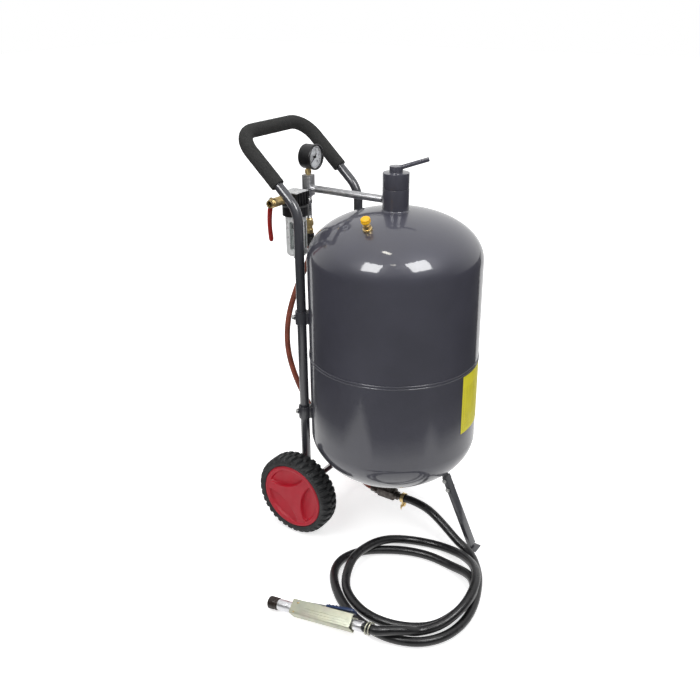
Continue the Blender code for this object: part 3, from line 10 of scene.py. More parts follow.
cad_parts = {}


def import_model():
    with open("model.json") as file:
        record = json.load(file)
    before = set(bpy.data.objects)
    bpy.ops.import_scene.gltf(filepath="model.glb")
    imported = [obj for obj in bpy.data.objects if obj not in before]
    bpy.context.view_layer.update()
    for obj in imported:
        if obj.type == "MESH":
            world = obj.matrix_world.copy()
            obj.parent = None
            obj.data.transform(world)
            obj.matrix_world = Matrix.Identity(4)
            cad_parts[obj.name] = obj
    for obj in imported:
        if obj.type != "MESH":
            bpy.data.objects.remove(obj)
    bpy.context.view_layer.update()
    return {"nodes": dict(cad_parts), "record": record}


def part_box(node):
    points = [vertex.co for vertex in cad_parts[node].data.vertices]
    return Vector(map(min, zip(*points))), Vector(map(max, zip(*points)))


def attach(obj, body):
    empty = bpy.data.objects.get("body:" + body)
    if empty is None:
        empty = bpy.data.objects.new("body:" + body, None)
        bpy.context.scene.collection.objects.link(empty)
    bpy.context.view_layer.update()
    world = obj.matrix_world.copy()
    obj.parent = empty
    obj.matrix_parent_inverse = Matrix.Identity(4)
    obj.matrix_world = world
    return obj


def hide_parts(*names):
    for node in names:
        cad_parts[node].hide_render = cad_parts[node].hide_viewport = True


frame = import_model()

ROOT = "cart_and_tank"
BODY_OF = {
    node: body for body, nodes in frame["record"]["behaviour"]["bodies"].items() for node in nodes
}


# Everything below is drawn round the tank's axis, which stands here in the frame.
AXIS = Vector((0.0, (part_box("tank_upper_shell")[0].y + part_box("tank_upper_shell")[1].y) / 2.0, 0.0))


def low(node):
    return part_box(node)[0] - AXIS


def high(node):
    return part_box(node)[1] - AXIS


def middle(node):
    return (low(node) + high(node)) / 2.0


# Driving sizes, read from the frame where it holds them --------------------------------------------

TANK_R = high("tank_upper_shell").x
WALL = 0.003
SEAM_LOW = low("seam_band").z
SEAM_HIGH = high("seam_band").z
UPPER_TOP = 0.707
UPPER_DOME = 0.112
UPPER_POWER = 2.05
LOWER_END = 0.27
LOWER_DOME = 0.13
LOWER_POWER = 1.85

NECK_TOP = high("filler_neck").z
NECK_FOOT = low("filler_neck").z
NECK_R = high("filler_neck").x
NECK_BORE = 0.0255
CAP_R = NECK_R - 0.0001
CAP_TOP = 0.901
CAP_HUB_R = 0.015
CAP_HUB_TOP = high("filler_cap").z
CAP_LEVER_R = 0.005
CAP_LEVER_LENGTH = 0.086
CAP_LEVER_AZIMUTH = math.radians(-60.0)
CAP_LEVER_RISE = math.radians(16.5)
SAFETY_RADIUS = 0.115

TUBE_R = 0.011
UPRIGHT_X = high("handle_frame").x - TUBE_R
UPRIGHT_Y = 0.178
UPRIGHT_FOOT = low("handle_frame").z
HANDLE_BEND_Z = 0.819
HANDLE_TOP_Y = 0.34
HANDLE_TOP_Z = 0.971
HANDLE_LOW_BEND = 0.07
HANDLE_TOP_BEND = 0.052
FOAM_R = 0.0163
FOAM_START = 0.072
CLAMP_R = 0.015

AXLE_R = 0.008
AXLE_Z = middle("axle").z
WHEEL_X = middle("tyre_right").x
TYRE_HALF = (high("tyre_right").x - low("tyre_right").x) / 2.0
HUB_R = 0.084
LUGS = 36
BRACE_HALF = 0.0045
BRACE_EYE_R = 0.0125

AIR_Y = middle("manifold_block").y
AIR_Z = middle("feed_pipe").z
SIDE_Z = middle("inlet_valve_ball").z
BLOCK_TOP = high("manifold_block").z
BLOCK_FOOT = low("manifold_block").z
SEPARATOR_X = middle("separator_bowl").x
HEAD_FOOT = low("separator_head").z
HEAD_TOP = high("separator_head").z
HEAD_SHOULDER = HEAD_FOOT + 0.024
HEAD_R = 0.031
HEAD_HALF_X = 0.0225
HEAD_HALF_Y = 0.021
BOWL_FOOT = low("bowl_guard").z
GUARD_R = 0.0248
GAUGE_Z = middle("gauge_case").z
PIPE_R = high("feed_pipe").x
VALVE_X = middle("inlet_valve_ball").x
SEPARATOR = Matrix.Translation((SEPARATOR_X, AIR_Y, 0.0))

MIX_Z = 0.073
MIX_FRONT = -0.013
MIX_BACK = 0.046
BLAST_R = 0.0108

GUN_REAR = (-0.4187, -0.1561, 0.039)
GUN_DIP = math.radians(-6.5)
GUN_AZIMUTH = math.radians(5.6)
GUN_ROLL = math.radians(58.0)
GUN_LENGTH = 0.149
GUN_HALF = 0.0155
LEVER_LIFT = math.radians(4.0)
PIVOT_Y = 0.135
PIVOT_Z = 0.0127

LABEL_FROM = -98.0
LABEL_TO = -54.0
LABEL_LOW = 0.323
LABEL_HIGH = 0.4695

UP = Vector((0.0, 0.0, 1.0))
RIGHTWARD = (1.0, 0.0, 0.0)
FORWARD = (0.0, -1.0, 0.0)
BACKWARD = (0.0, 1.0, 0.0)
SIDES = ((-1.0, "left"), (1.0, "right"))
ALONG_X = Matrix(((0, 0, 1, 0), (1, 0, 0, 0), (0, 1, 0, 0), (0, 0, 0, 1)))
ALONG_Y = Matrix(((1, 0, 0, 0), (0, 0, 1, 0), (0, 1, 0, 0), (0, 0, 0, 1)))


# Material nodes --------------------------------------------------------------------------------------


class Look:
    """A material under construction: a node tree, its shader and object coordinates."""

    def __init__(self, name, colour, roughness, metallic=0.0):
        self.material = bpy.data.materials.new(name)
        self.material.use_nodes = True
        self.tree = self.material.node_tree
        self.shader = self.tree.nodes["Principled BSDF"]
        self.set("Base Color", (*colour, 1.0))
        self.set("Roughness", roughness)
        self.set("Metallic", metallic)
        self.place = self.node("ShaderNodeTexCoord").outputs["Object"]
        self.normal = None

    def node(self, kind, **inputs):
        made = self.tree.nodes.new(kind)
        for name, value in inputs.items():
            self.feed(made.inputs[name.replace("_", " ")], value)
        return made

    def feed(self, socket, value):
        if isinstance(value, bpy.types.NodeSocket):
            self.tree.links.new(value, socket)
        else:
            socket.default_value = value

    def set(self, name, value):
        self.feed(self.shader.inputs[name], value)

    def noise(self, scale, detail=3.0, stretch=None):
        """A noise value, 0 to 1, with features about 1/scale metres across."""
        where = self.place
        if stretch is not None:
            where = self.node("ShaderNodeMapping", Vector=self.place, Scale=stretch).outputs[0]
        made = self.node("ShaderNodeTexNoise", Vector=where, Scale=scale, Detail=detail)
        return made.outputs["Fac"]

    def cells(self, scale, output="Distance"):
        return self.node("ShaderNodeTexVoronoi", Vector=self.place, Scale=scale).outputs[output]

    def maths(self, kind, first, second=0.0):
        made = self.tree.nodes.new("ShaderNodeMath")
        made.operation = kind
        self.feed(made.inputs[0], first)
        self.feed(made.inputs[1], second)
        return made.outputs[0]

    def span(self, value, start, end, out_start=0.0, out_end=1.0):
        made = self.node("ShaderNodeMapRange", Value=value)
        for index, number in enumerate((start, end, out_start, out_end)):
            made.inputs[index + 1].default_value = number
        return made.outputs["Result"]

    def mix(self, share, first, second):
        made = self.tree.nodes.new("ShaderNodeMix")
        made.data_type = "RGBA"
        for socket, value in zip((made.inputs[0], made.inputs[6], made.inputs[7]), (share, first, second)):
            colour = isinstance(value, tuple) and len(value) == 3
            self.feed(socket, (*value, 1.0) if colour else value)
        return made.outputs[2]

    def bump(self, height, distance, strength=1.0):
        """Adds relief of about that many metres. Later calls stack on earlier ones."""
        made = self.node("ShaderNodeBump", Height=height, Distance=distance, Strength=strength)
        if self.normal is not None:
            self.feed(made.inputs["Normal"], self.normal)
        self.normal = made.outputs["Normal"]
        self.set("Normal", self.normal)

    def vary_colour(self, value, first, second, start=0.35, end=0.65):
        self.set("Base Color", self.mix(self.span(value, start, end), first, second))

    def vary_roughness(self, value, first, second, start=0.35, end=0.65):
        self.set("Roughness", self.span(value, start, end, first, second))


def shade(colour, factor):
    return tuple(min(channel * factor, 1.0) for channel in colour)


def enamel(name, colour, coat_roughness, peel):
    """Glossy stoved paint with a faint orange peel, a little dust and slow changes of depth."""
    look = Look(name, colour, 0.42)
    look.vary_colour(look.noise(9.0, 4.0), shade(colour, 0.93), shade(colour, 1.07))
    look.set("Coat Weight", 1.0)
    look.set("Coat IOR", 1.6)
    smear = look.noise(26.0, 4.0)
    dust = look.span(look.noise(420.0, 2.0), 0.66, 0.78)
    rough = look.span(smear, 0.3, 0.7, coat_roughness, coat_roughness * 1.8)
    look.set("Coat Roughness", look.maths("ADD", rough, look.span(dust, 0.0, 1.0, 0.0, 0.1)))
    wave = look.node("ShaderNodeBump", Height=look.noise(130.0, 1.5), Distance=peel, Strength=1.0)
    look.set("Coat Normal", wave.outputs["Normal"])
    look.bump(look.noise(60.0, 2.0), peel)
    return look.material


def rubber(name, colour, roughness, grain=0.00006, scale=900.0, sheen=0.0):
    look = Look(name, colour, roughness)
    look.vary_colour(look.noise(30.0, 5.0), shade(colour, 0.75), shade(colour, 1.35))
    look.vary_roughness(look.noise(70.0, 4.0), roughness - 0.08, roughness + 0.1)
    look.bump(look.noise(scale, 3.0), grain)
    look.set("Sheen Weight", sheen)
    return look.material


def plastic(name, colour, roughness, grain=0.00003, depth=0.0):
    look = Look(name, colour, roughness)
    look.vary_colour(look.noise(22.0, 3.0), shade(colour, 0.94), shade(colour, 1.06))
    look.vary_roughness(look.noise(55.0, 4.0), roughness - 0.05, roughness + 0.07)
    look.bump(look.noise(1400.0, 2.0), grain)
    if depth:
        look.set("Subsurface Weight", depth)
        look.set("Subsurface Radius", (0.004, 0.0015, 0.001))
    return look.material


def metal(name, colour, dull, roughness, scale=60.0, grain=0.00003, stretch=None):
    """Metal whose tint and polish drift, with fine tool marks drawn out along one direction."""
    look = Look(name, colour, roughness, 1.0)
    look.vary_colour(look.noise(scale, 5.0), colour, dull)
    look.vary_roughness(look.noise(scale * 2.5, 4.0), roughness - 0.07, roughness + 0.1)
    look.bump(look.noise(900.0, 3.0, stretch), grain)
    return look.material


def galvanised():
    """Zinc spangle: flat crystals, each with its own tone."""
    look = Look("galvanised_coat", (0.54, 0.54, 0.56), 0.4, 1.0)
    crystal = look.cells(260.0, "Color")
    tone = look.node("ShaderNodeSeparateColor", Color=crystal).outputs[0]
    look.set("Base Color", look.mix(tone, (0.49, 0.49, 0.505), (0.6, 0.6, 0.615)))
    look.set("Roughness", look.span(tone, 0.0, 1.0, 0.34, 0.5))
    look.bump(look.noise(700.0, 4.0), 0.00005)
    return look.material


def passivated():
    """Yellow-chromated zinc sheet: pale straw with faint green and pink drift and rolling lines."""
    look = Look("chromated_zinc", (0.66, 0.64, 0.44), 0.4, 1.0)
    tint = look.mix(look.span(look.noise(34.0, 4.0), 0.38, 0.62), (0.62, 0.62, 0.49), (0.54, 0.56, 0.46))
    blush = look.mix(look.span(look.noise(17.0, 3.0), 0.52, 0.7), tint, (0.62, 0.57, 0.49))
    look.set("Base Color", blush)
    look.vary_roughness(look.noise(90.0, 4.0), 0.44, 0.6)
    look.bump(look.noise(700.0, 3.0, (1.0, 0.05, 1.0)), 0.00007)
    return look.material


def foam_skin():
    """Closed-cell grip foam: fine pits with painted shade darkening the bottom of each pit, and a dusty,
    broken sheen.
    """
    look = Look("grip_foam", (0.026, 0.026, 0.026), 0.92)
    pits = look.cells(900.0)
    # Painted shade: the colour is darkest at the bottom of each pit, where the bump is lowest, and lighter on
    # the rims between pits.
    tone = look.span(pits, 0.15, 0.75)
    look.set("Base Color", look.mix(tone, (0.012, 0.012, 0.012), (0.044, 0.044, 0.043)))
    look.bump(pits, 0.00045)
    look.bump(look.noise(260.0, 4.0), 0.00045)
    look.set("Specular IOR Level", 0.25)
    return look.material


def clear(name, tint, roughness):
    """Moulded clear plastic with a faint haze."""
    look = Look(name, tint, roughness)
    look.set("Transmission Weight", 1.0)
    look.set("IOR", 1.49)
    look.vary_roughness(look.noise(60.0, 3.0), roughness, roughness + 0.05)
    look.bump(look.noise(200.0, 2.0), 0.00002)
    return look.material


def milky(name, colour):
    """Frosted moulding that lets some light through."""
    look = Look(name, colour, 0.3)
    look.vary_colour(look.noise(40.0, 3.0), shade(colour, 0.92), shade(colour, 1.05))
    look.vary_roughness(look.noise(90.0, 3.0), 0.24, 0.4)
    look.set("Transmission Weight", 0.35)
    look.set("IOR", 1.3)
    look.bump(look.noise(120.0, 2.0), 0.00002)
    return look.material


def paper(name, colour):
    look = Look(name, colour, 0.45)
    look.vary_colour(look.noise(40.0, 5.0), shade(colour, 0.95), shade(colour, 1.03))
    look.vary_roughness(look.noise(120.0, 3.0), 0.36, 0.52)
    look.bump(look.noise(500.0, 3.0), 0.00004)
    return look.material


def label_sheet():
    """Yellow label stock with rows of short grey rules where print would be. It holds no letters."""
    look = Look("blank_yellow_label", (0.79, 0.71, 0.012), 0.42)
    parts = look.node("ShaderNodeSeparateXYZ", Vector=look.place)
    rows = look.maths("PINGPONG", parts.outputs[2], 0.0021)
    share = look.span(rows, 0.0013, 0.0016)
    broken = look.span(look.noise(260.0, 2.0, (1.0, 1.0, 0.02)), 0.44, 0.5)
    inside = look.span(parts.outputs[2], LABEL_LOW + 0.008, LABEL_LOW + 0.009)
    below = look.span(parts.outputs[2], LABEL_HIGH - 0.03, LABEL_HIGH - 0.031)
    for factor in (broken, inside, below):
        share = look.maths("MULTIPLY", share, factor)
    worn = look.mix(look.span(look.noise(40.0, 4.0), 0.35, 0.65), (0.76, 0.68, 0.01), (0.82, 0.74, 0.016))
    look.set("Base Color", look.mix(look.span(share, 0.0, 1.0, 0.0, 0.45), worn, (0.2, 0.18, 0.02)))
    look.vary_roughness(look.noise(120.0, 3.0), 0.34, 0.5)
    look.bump(look.noise(500.0, 3.0), 0.00004)
    return look.material


def hose_cover(name, colour, roughness, weave):
    """Extruded hose cover over a braid that telegraphs through as a faint diamond relief."""
    look = Look(name, colour, roughness)
    look.vary_colour(look.noise(45.0, 4.0), shade(colour, 0.8), shade(colour, 1.2))
    look.vary_roughness(look.noise(90.0, 4.0), roughness - 0.08, roughness + 0.1)
    look.bump(look.cells(520.0), weave)
    look.bump(look.noise(1500.0, 2.0), 0.00003)
    look.set("Coat Weight", 0.25)
    look.set("Coat Roughness", 0.22)
    return look.material


SLATE = (0.05, 0.05, 0.07)
LOOKS = {
    "tank_paint": enamel("tank_enamel", SLATE, 0.045, 0.0001),
    "frame_paint": enamel("frame_enamel", (0.04, 0.041, 0.05), 0.09, 0.0001),
    "seal_rubber": rubber("seal_rubber", (0.012, 0.012, 0.012), 0.55),
    "foam": foam_skin(),
    "tyre": rubber("tyre_rubber", (0.016, 0.017, 0.018), 0.62, 0.0001, 700.0, 0.05),
    "hub": plastic("hub_plastic", (0.5, 0.006, 0.024), 0.48, 0.00005, 0.04),
    "zinc": metal("zinc_plate", (0.62, 0.62, 0.6), (0.48, 0.48, 0.47), 0.32),
    "brass": metal("brass_stock", (0.88, 0.68, 0.34), (0.72, 0.54, 0.25), 0.34),
    "yellow_cap": plastic("yellow_anodising", (0.93, 0.5, 0.004), 0.26),
    "galvanised": galvanised(),
    "steel": metal("bright_steel", (0.6, 0.6, 0.6), (0.42, 0.42, 0.41), 0.28),
    "black_plastic": plastic("black_casing", (0.01, 0.01, 0.011), 0.34, 0.00006),
    "needle": plastic("needle_black", (0.008, 0.008, 0.009), 0.4),
    "dial": paper("dial_white", (0.86, 0.86, 0.88)),
    "gauge_glass": clear("gauge_window", (0.97, 0.98, 0.99), 0.02),
    "clear_bowl": clear("clear_bowl", (0.9, 0.93, 0.92), 0.05),
    "guard": milky("guard_moulding", (0.9, 0.91, 0.91)),
    "filter": rubber("sintered_filter", (0.055, 0.054, 0.058), 0.9, 0.0003, 600.0),
    "red_sleeve": plastic("dipped_vinyl", (0.38, 0.026, 0.022), 0.3, 0.00006, 0.05),
    "air_hose": hose_cover("air_hose_cover", (0.28, 0.065, 0.034), 0.46, 0.00005),
    "cast_valve": metal("cast_iron", (0.16, 0.145, 0.135), (0.08, 0.07, 0.064), 0.44, 90.0, 0.00025),
    "blast_hose": hose_cover("blast_hose_cover", (0.0075, 0.0072, 0.0085), 0.34, 0.00003),
    "passivated": passivated(),
    "blue_sleeve": plastic("blue_vinyl", (0.004, 0.024, 0.09), 0.3),
    "aluminium": metal("turned_aluminium", (0.92, 0.92, 0.94), (0.8, 0.8, 0.82), 0.36),
    "nozzle": rubber("fired_ceramic", (0.022, 0.012, 0.009), 0.36, 0.00012, 500.0),
}
LABEL = label_sheet()
PRINT = plastic("dial_print", (0.01, 0.01, 0.012), 0.5)


# Mesh tools ------------------------------------------------------------------------------------------


def show(name, data, place=Matrix()):
    """Puts data in the scene as an object."""
    obj = bpy.data.objects.new(name, data)
    obj.matrix_world = place
    bpy.context.scene.collection.objects.link(obj)
    return obj


def piece(name, bm, look, body, stands_for=(), material=None, sharp=32.0):
    """Makes the mesh a shown piece that rides on a body and stands for the given CAD nodes."""
    bmesh.ops.recalc_face_normals(bm, faces=bm.faces)
    bmesh.ops.translate(bm, vec=AXIS, verts=bm.verts)
    mesh = bpy.data.meshes.new(name)
    bm.to_mesh(mesh)
    bm.free()
    mesh.materials.append(material or LOOKS[look])
    mesh.shade_smooth()
    mesh.set_sharp_from_angle(angle=math.radians(sharp))
    obj = show(name, mesh)
    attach(obj, body)
    if stands_for:
        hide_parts(*stands_for)
    return obj


def stand_in(node, bm, look, sharp=32.0):
    """The piece that is shown in place of one CAD node, on that node's body."""
    return piece(node + "_skin", bm, look, BODY_OF[node], (node,), sharp=sharp)


def aim(origin, axis):
    """A frame at origin whose Z points along axis."""
    turn = UP.rotation_difference(Vector(axis)).to_matrix().to_4x4()
    return Matrix.Translation(Vector(origin)) @ turn


def heading(azimuth, rise):
    """The unit vector at those angles, azimuth from +X towards +Y and rise from the level."""
    level = math.cos(rise)
    return Vector((math.cos(azimuth) * level, math.sin(azimuth) * level, math.sin(rise)))


def rounded(profile, radius, steps=3, closed=True):
    """The profile with each corner replaced by a small curve."""
    count = len(profile)
    points = []
    for index, spot in enumerate(profile):
        here = Vector(spot)
        if not closed and index in (0, count - 1):
            points.append(here)
            continue
        back = Vector(profile[index - 1]) - here
        onward = Vector(profile[(index + 1) % count]) - here
        if back.length < 1e-7 or onward.length < 1e-7 or back.angle(-onward) < math.radians(12.0):
            points.append(here)
            continue
        reach = min(radius, back.length * 0.45, onward.length * 0.45)
        first = here + back.normalized() * reach
        last = here + onward.normalized() * reach
        for step in range(steps + 1):
            t = step / steps
            points.append(first * (1 - t) ** 2 + here * (2 * t * (1 - t)) + last * t**2)
    return [tuple(point) for point in points]


def lathe(bm, profile, place=Matrix(), steps=64, soft=0.0004, shift=None, rounds=3):
    """Turns (radius, height) points about the Z of place. shift moves a ring point by its angle."""
    on_axis = profile[0][0] < 1e-6 and profile[-1][0] < 1e-6
    if soft:
        profile = rounded(profile, soft, rounds, closed=not on_axis)
    rings = []
    for radius, height in profile:
        if radius < 1e-6:
            rings.append([bm.verts.new(place @ Vector((0.0, 0.0, height)))])
            continue
        ring = []
        for step in range(steps):
            angle = 2.0 * math.pi * step / steps
            r, z = (radius, height) if shift is None else shift(radius, height, angle)
            ring.append(bm.verts.new(place @ Vector((r * math.cos(angle), r * math.sin(angle), z))))
        rings.append(ring)
    pairs = list(zip(rings, rings[1:]))
    if not on_axis:
        pairs.append((rings[-1], rings[0]))
    for first, second in pairs:
        bridge(bm, first, second)
    return bm


def band(inner, outer, top, foot):
    """The profile of a plain ring, or of a bar when inner is 0."""
    return [(inner, top), (outer, top), (outer, foot), (inner, foot)]


def bridge(bm, first, second):
    """Faces between two rings, either of which may be a single point."""
    count = max(len(first), len(second))
    if count == 1:
        return
    for step in range(count):
        onward = (step + 1) % count
        corners = []
        for ring, index in ((first, step), (first, onward), (second, onward), (second, step)):
            vertex = ring[index % len(ring)]
            if vertex not in corners:
                corners.append(vertex)
        bm.faces.new(corners)


def skin(bm, rings):
    """A closed skin over rings: bridged one to the next, with a face at each end."""
    for first, second in zip(rings, rings[1:]):
        bridge(bm, first, second)
    bm.faces.new(rings[0])
    bm.faces.new(list(reversed(rings[-1])))
    return bm


def path_frames(path):
    """A frame at each path point: Z along the path, turned as little as possible from point to point."""
    points = [Vector(point) for point in path]
    frames = []
    before = None
    across = None
    for index, here in enumerate(points):
        ahead = points[min(index + 1, len(points) - 1)]
        behind = points[max(index - 1, 0)]
        along = (ahead - behind).normalized()
        if before is None:
            across = along.orthogonal().normalized()
        else:
            across = before.rotation_difference(along) @ across
            across = (across - along * across.dot(along)).normalized()
        before = along
        other = along.cross(across)
        frames.append(Matrix((across, other, along)).transposed().to_4x4())
        frames[-1].translation = here
    return frames


def sweep(bm, path, section):
    """Sweeps a section along a path. section gives the ring's points for a share 0 to 1 of the path."""
    frames = path_frames(path)
    rings = []
    for index, place in enumerate(frames):
        ring = [place @ Vector((x, y, 0.0)) for x, y in section(index / (len(frames) - 1))]
        rings.append([bm.verts.new(point) for point in ring])
    return skin(bm, rings)


def tube(bm, path, radius, sides=32, soft=0.0005):
    """A round bar along a path with slightly rounded ends."""
    points = [Vector(point) for point in path]
    head = (points[1] - points[0]).normalized()
    tail = (points[-1] - points[-2]).normalized()
    points = [points[0], points[0] + head * soft, *points[1:-1], points[-1] - tail * soft, points[-1]]
    last = len(points) - 1

    def section(share):
        at_end = share < 0.5 / last or share > 1.0 - 0.5 / last
        return polygon(sides, radius - soft if at_end else radius)

    return sweep(bm, points, section)


def smooth_edges(bm, faces, width, segments=3, angle=30.0):
    """Rounds the sharp edges of the given faces."""
    limit = math.radians(angle)
    edges = {edge for face in faces for edge in face.edges}
    sharp = [edge for edge in edges if len(edge.link_faces) == 2 and edge.calc_face_angle() > limit]
    bmesh.ops.bevel(
        bm, geom=sharp, offset=width, offset_type="OFFSET", segments=segments, profile=0.5,
        affect="EDGES", clamp_overlap=True,
    )


def block(bm, start, end, bevel=0.0006, place=Matrix(), segments=3):
    """A box between two corners with rounded edges."""
    part = bmesh.new()
    bmesh.ops.create_cube(part, size=1.0)
    start, end = Vector(start), Vector(end)
    bmesh.ops.scale(part, vec=end - start, verts=part.verts)
    bmesh.ops.translate(part, vec=(start + end) / 2.0, verts=part.verts)
    smooth_edges(part, part.faces, bevel, segments)
    return merge(bm, part, place)


def prism(bm, outline, start, end, bevel=0.0005, place=Matrix(), segments=3, angle=30.0):
    """An outline in XY raised from start to end along Z, with rounded edges."""
    part = bmesh.new()
    base = [part.verts.new((x, y, start)) for x, y in outline]
    top = [part.verts.new((x, y, end)) for x, y in outline]
    part.faces.new(list(reversed(base)))
    part.faces.new(top)
    bridge(part, base, top)
    bmesh.ops.recalc_face_normals(part, faces=part.faces)
    if bevel:
        smooth_edges(part, part.faces, bevel, segments, angle)
    return merge(bm, part, place)


def merge(bm, part, place=Matrix()):
    """Copies one mesh into another."""
    bmesh.ops.transform(part, matrix=place, verts=part.verts)
    copies = {vertex: bm.verts.new(vertex.co) for vertex in part.verts}
    for face in part.faces:
        bm.faces.new([copies[vertex] for vertex in face.verts])
    part.free()
    return bm


def polygon(sides, across_corners, turn=0.0):
    angles = [turn + 2.0 * math.pi * step / sides for step in range(sides)]
    return [(across_corners * math.cos(a), across_corners * math.sin(a)) for a in angles]


def threads(radius, depth, start, end, pitch):
    """(radius, height) points of a screw thread drawn as rings, from start to end."""
    count = max(int(abs(end - start) / pitch), 1)
    step = (end - start) / count
    points = []
    for index in range(count):
        points.append((radius, start + step * (index + 0.2)))
        points.append((radius - depth, start + step * (index + 0.7)))
    return points


def bolt_head(bm, place, across=0.0055, tall=0.004):
    """A hexagon head with its chamfered top, standing on the place's XY plane."""
    prism(bm, polygon(6, across), 0.0, tall * 0.86, 0.0004, place)
    lathe(bm, [(0.0, tall), (across * 0.72, tall), (across * 0.86, tall * 0.8), (0.0, tall * 0.8)], place, 24)
    return bm


def washer(bm, place, inner, outer, thick):
    return lathe(bm, band(inner, outer, thick, 0.0), place, 32, 0.0002)


def rounded_path(corners, bends, per_bend=16):
    """A path through corners, each inner corner replaced by an arc of the bend radius given for it."""
    points = [Vector(corners[0])]
    for index in range(1, len(corners) - 1):
        here = Vector(corners[index])
        back = (Vector(corners[index - 1]) - here).normalized()
        onward = (Vector(corners[index + 1]) - here).normalized()
        half = back.angle(onward) / 2.0
        radius = bends[index - 1]
        start = here + back * (radius / math.tan(half))
        centre = here + (back + onward).normalized() * (radius / math.sin(half))
        spin = math.pi - 2.0 * half
        axis = (start - centre).cross(here - centre).normalized()
        for step in range(per_bend + 1):
            turn = Matrix.Rotation(spin * step / per_bend, 3, axis)
            points.append(centre + turn @ (start - centre))
    points.append(Vector(corners[-1]))
    return points


def even_path(path, spacing):
    """The same path with points at an even spacing."""
    points = [Vector(point) for point in path]
    lengths = [(b - a).length for a, b in zip(points, points[1:])]
    count = max(int(sum(lengths) / spacing), 2)
    step = sum(lengths) / count
    made = [points[0]]
    index, used = 0, 0.0
    for number in range(1, count):
        want = number * step
        while used + lengths[index] < want:
            used += lengths[index]
            index += 1
        share = (want - used) / lengths[index]
        made.append(points[index].lerp(points[index + 1], share))
    made.append(points[-1])
    return made


def smooth_step(value, start, end):
    share = min(max((value - start) / (end - start), 0.0), 1.0)
    return share * share * (3.0 - 2.0 * share)


def hose_from_frame(node, look, ring, grow):
    """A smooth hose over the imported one: its mesh is welded, squared up and subdivided.

    Subdividing draws a ring of few points inwards, so grow pushes the skin back out.
    """
    bm = bmesh.new()
    bm.from_mesh(frame["nodes"][node].data)
    bmesh.ops.translate(bm, vec=-AXIS, verts=bm.verts)
    bmesh.ops.remove_doubles(bm, verts=bm.verts, dist=ring)
    bmesh.ops.join_triangles(
        bm, faces=bm.faces, angle_face_threshold=math.radians(40.0), angle_shape_threshold=math.radians(60.0)
    )
    obj = stand_in(node, bm, look, 60.0)
    if "sharp_edge" in obj.data.attributes:
        obj.data.attributes.remove(obj.data.attributes["sharp_edge"])
    fine = obj.modifiers.new("fine", "SUBSURF")
    fine.levels = 2
    fine.render_levels = 2
    push = obj.modifiers.new("push", "DISPLACE")
    push.strength = grow
    push.mid_level = 0.0
    return obj


# Tank ------------------------------------------------------------------------------------------------


def dome_height(radius, reach, power, edge):
    share = min(radius / edge, 1.0)
    return reach * (1.0 - share**power) ** (1.0 / power)


def dome(reach, power, edge, start_radius, count):
    """(radius, height) points of a dome, from start_radius out to its edge."""
    first = math.acos(min((start_radius / edge) ** (power / 2.0), 1.0))
    points = []
    for step in range(count + 1):
        radius = edge * math.cos(first * (1.0 - step / count)) ** (2.0 / power)
        points.append((radius, dome_height(radius, reach, power, edge)))
    return points


def upper_shell():
    hole = NECK_R + 0.0003
    outer = dome(UPPER_DOME, UPPER_POWER, TANK_R, hole, 44)
    inner = dome(UPPER_DOME - WALL, UPPER_POWER, TANK_R - WALL, hole, 16)
    profile = [(radius, UPPER_TOP + height) for radius, height in outer]
    profile += [(TANK_R, z) for z in (0.66, 0.6, 0.54, SEAM_HIGH + 0.0003)]
    profile += [(TANK_R - WALL, SEAM_HIGH + 0.0003)]
    profile += [(radius, UPPER_TOP + height) for radius, height in reversed(inner)]
    stand_in("tank_upper_shell", lathe(bmesh.new(), profile, steps=160, soft=0.0), "tank_paint")


def lower_shell():
    hole = 0.0125
    edge = SEAM_LOW - 0.0003
    outer = dome(LOWER_DOME, LOWER_POWER, TANK_R, hole, 44)
    inner = dome(LOWER_DOME - WALL, LOWER_POWER, TANK_R - WALL, hole, 16)
    profile = [(TANK_R - WALL, edge)]
    profile += [(TANK_R, z) for z in (edge, 0.42, 0.36, 0.31)]
    profile += [(radius, LOWER_END - height) for radius, height in reversed(outer)]
    profile += [(radius, LOWER_END - height) for radius, height in inner]
    stand_in("tank_lower_shell", lathe(bmesh.new(), profile, steps=160, soft=0.0), "tank_paint")


def seam():
    """The joint of the two halves: two fine raised beads with a shallow flat between them."""
    bead = 0.0014
    profile = [(TANK_R - WALL, SEAM_HIGH), (TANK_R + 0.0001, SEAM_HIGH)]
    for centre in (SEAM_HIGH - bead, SEAM_LOW + bead):
        for step in range(7):
            angle = math.pi * (0.5 - step / 6.0)
            profile.append((TANK_R + 0.0001 + 0.0012 * math.cos(angle), centre + bead * math.sin(angle)))
    profile += [(TANK_R + 0.0001, SEAM_LOW), (TANK_R - WALL, SEAM_LOW)]
    stand_in("seam_band", lathe(bmesh.new(), profile, steps=160, soft=0.0), "tank_paint")


def weld_bead(bm, radius, height_at, size):
    """A fillet weld round a pipe that stands on the dome: small overlapping scallops."""
    count = 9

    def ripple(r, z, angle):
        drift = noise.noise(Vector((angle * 4.0, r * 60.0, 1.0)))
        scallop = 0.1 * abs(math.sin(angle * 26.0)) + 0.25 * drift
        reach = (r - radius) * (1.0 + scallop)
        return radius + reach, z + (r - radius) * 0.1 * scallop

    profile = []
    for step in range(count):
        angle = 0.5 * math.pi * step / (count - 1)
        r = radius + size * (1.0 - math.sin(angle))
        profile.append((r, height_at(r) + size * (1.0 - math.cos(angle)) + 0.0001))
    foot = height_at(radius + size) - 0.001
    profile += [(radius - 0.001, height_at(radius) + size), (radius - 0.001, foot), (radius + size, foot)]
    return lathe(bm, profile, steps=120, soft=0.0, shift=ripple)


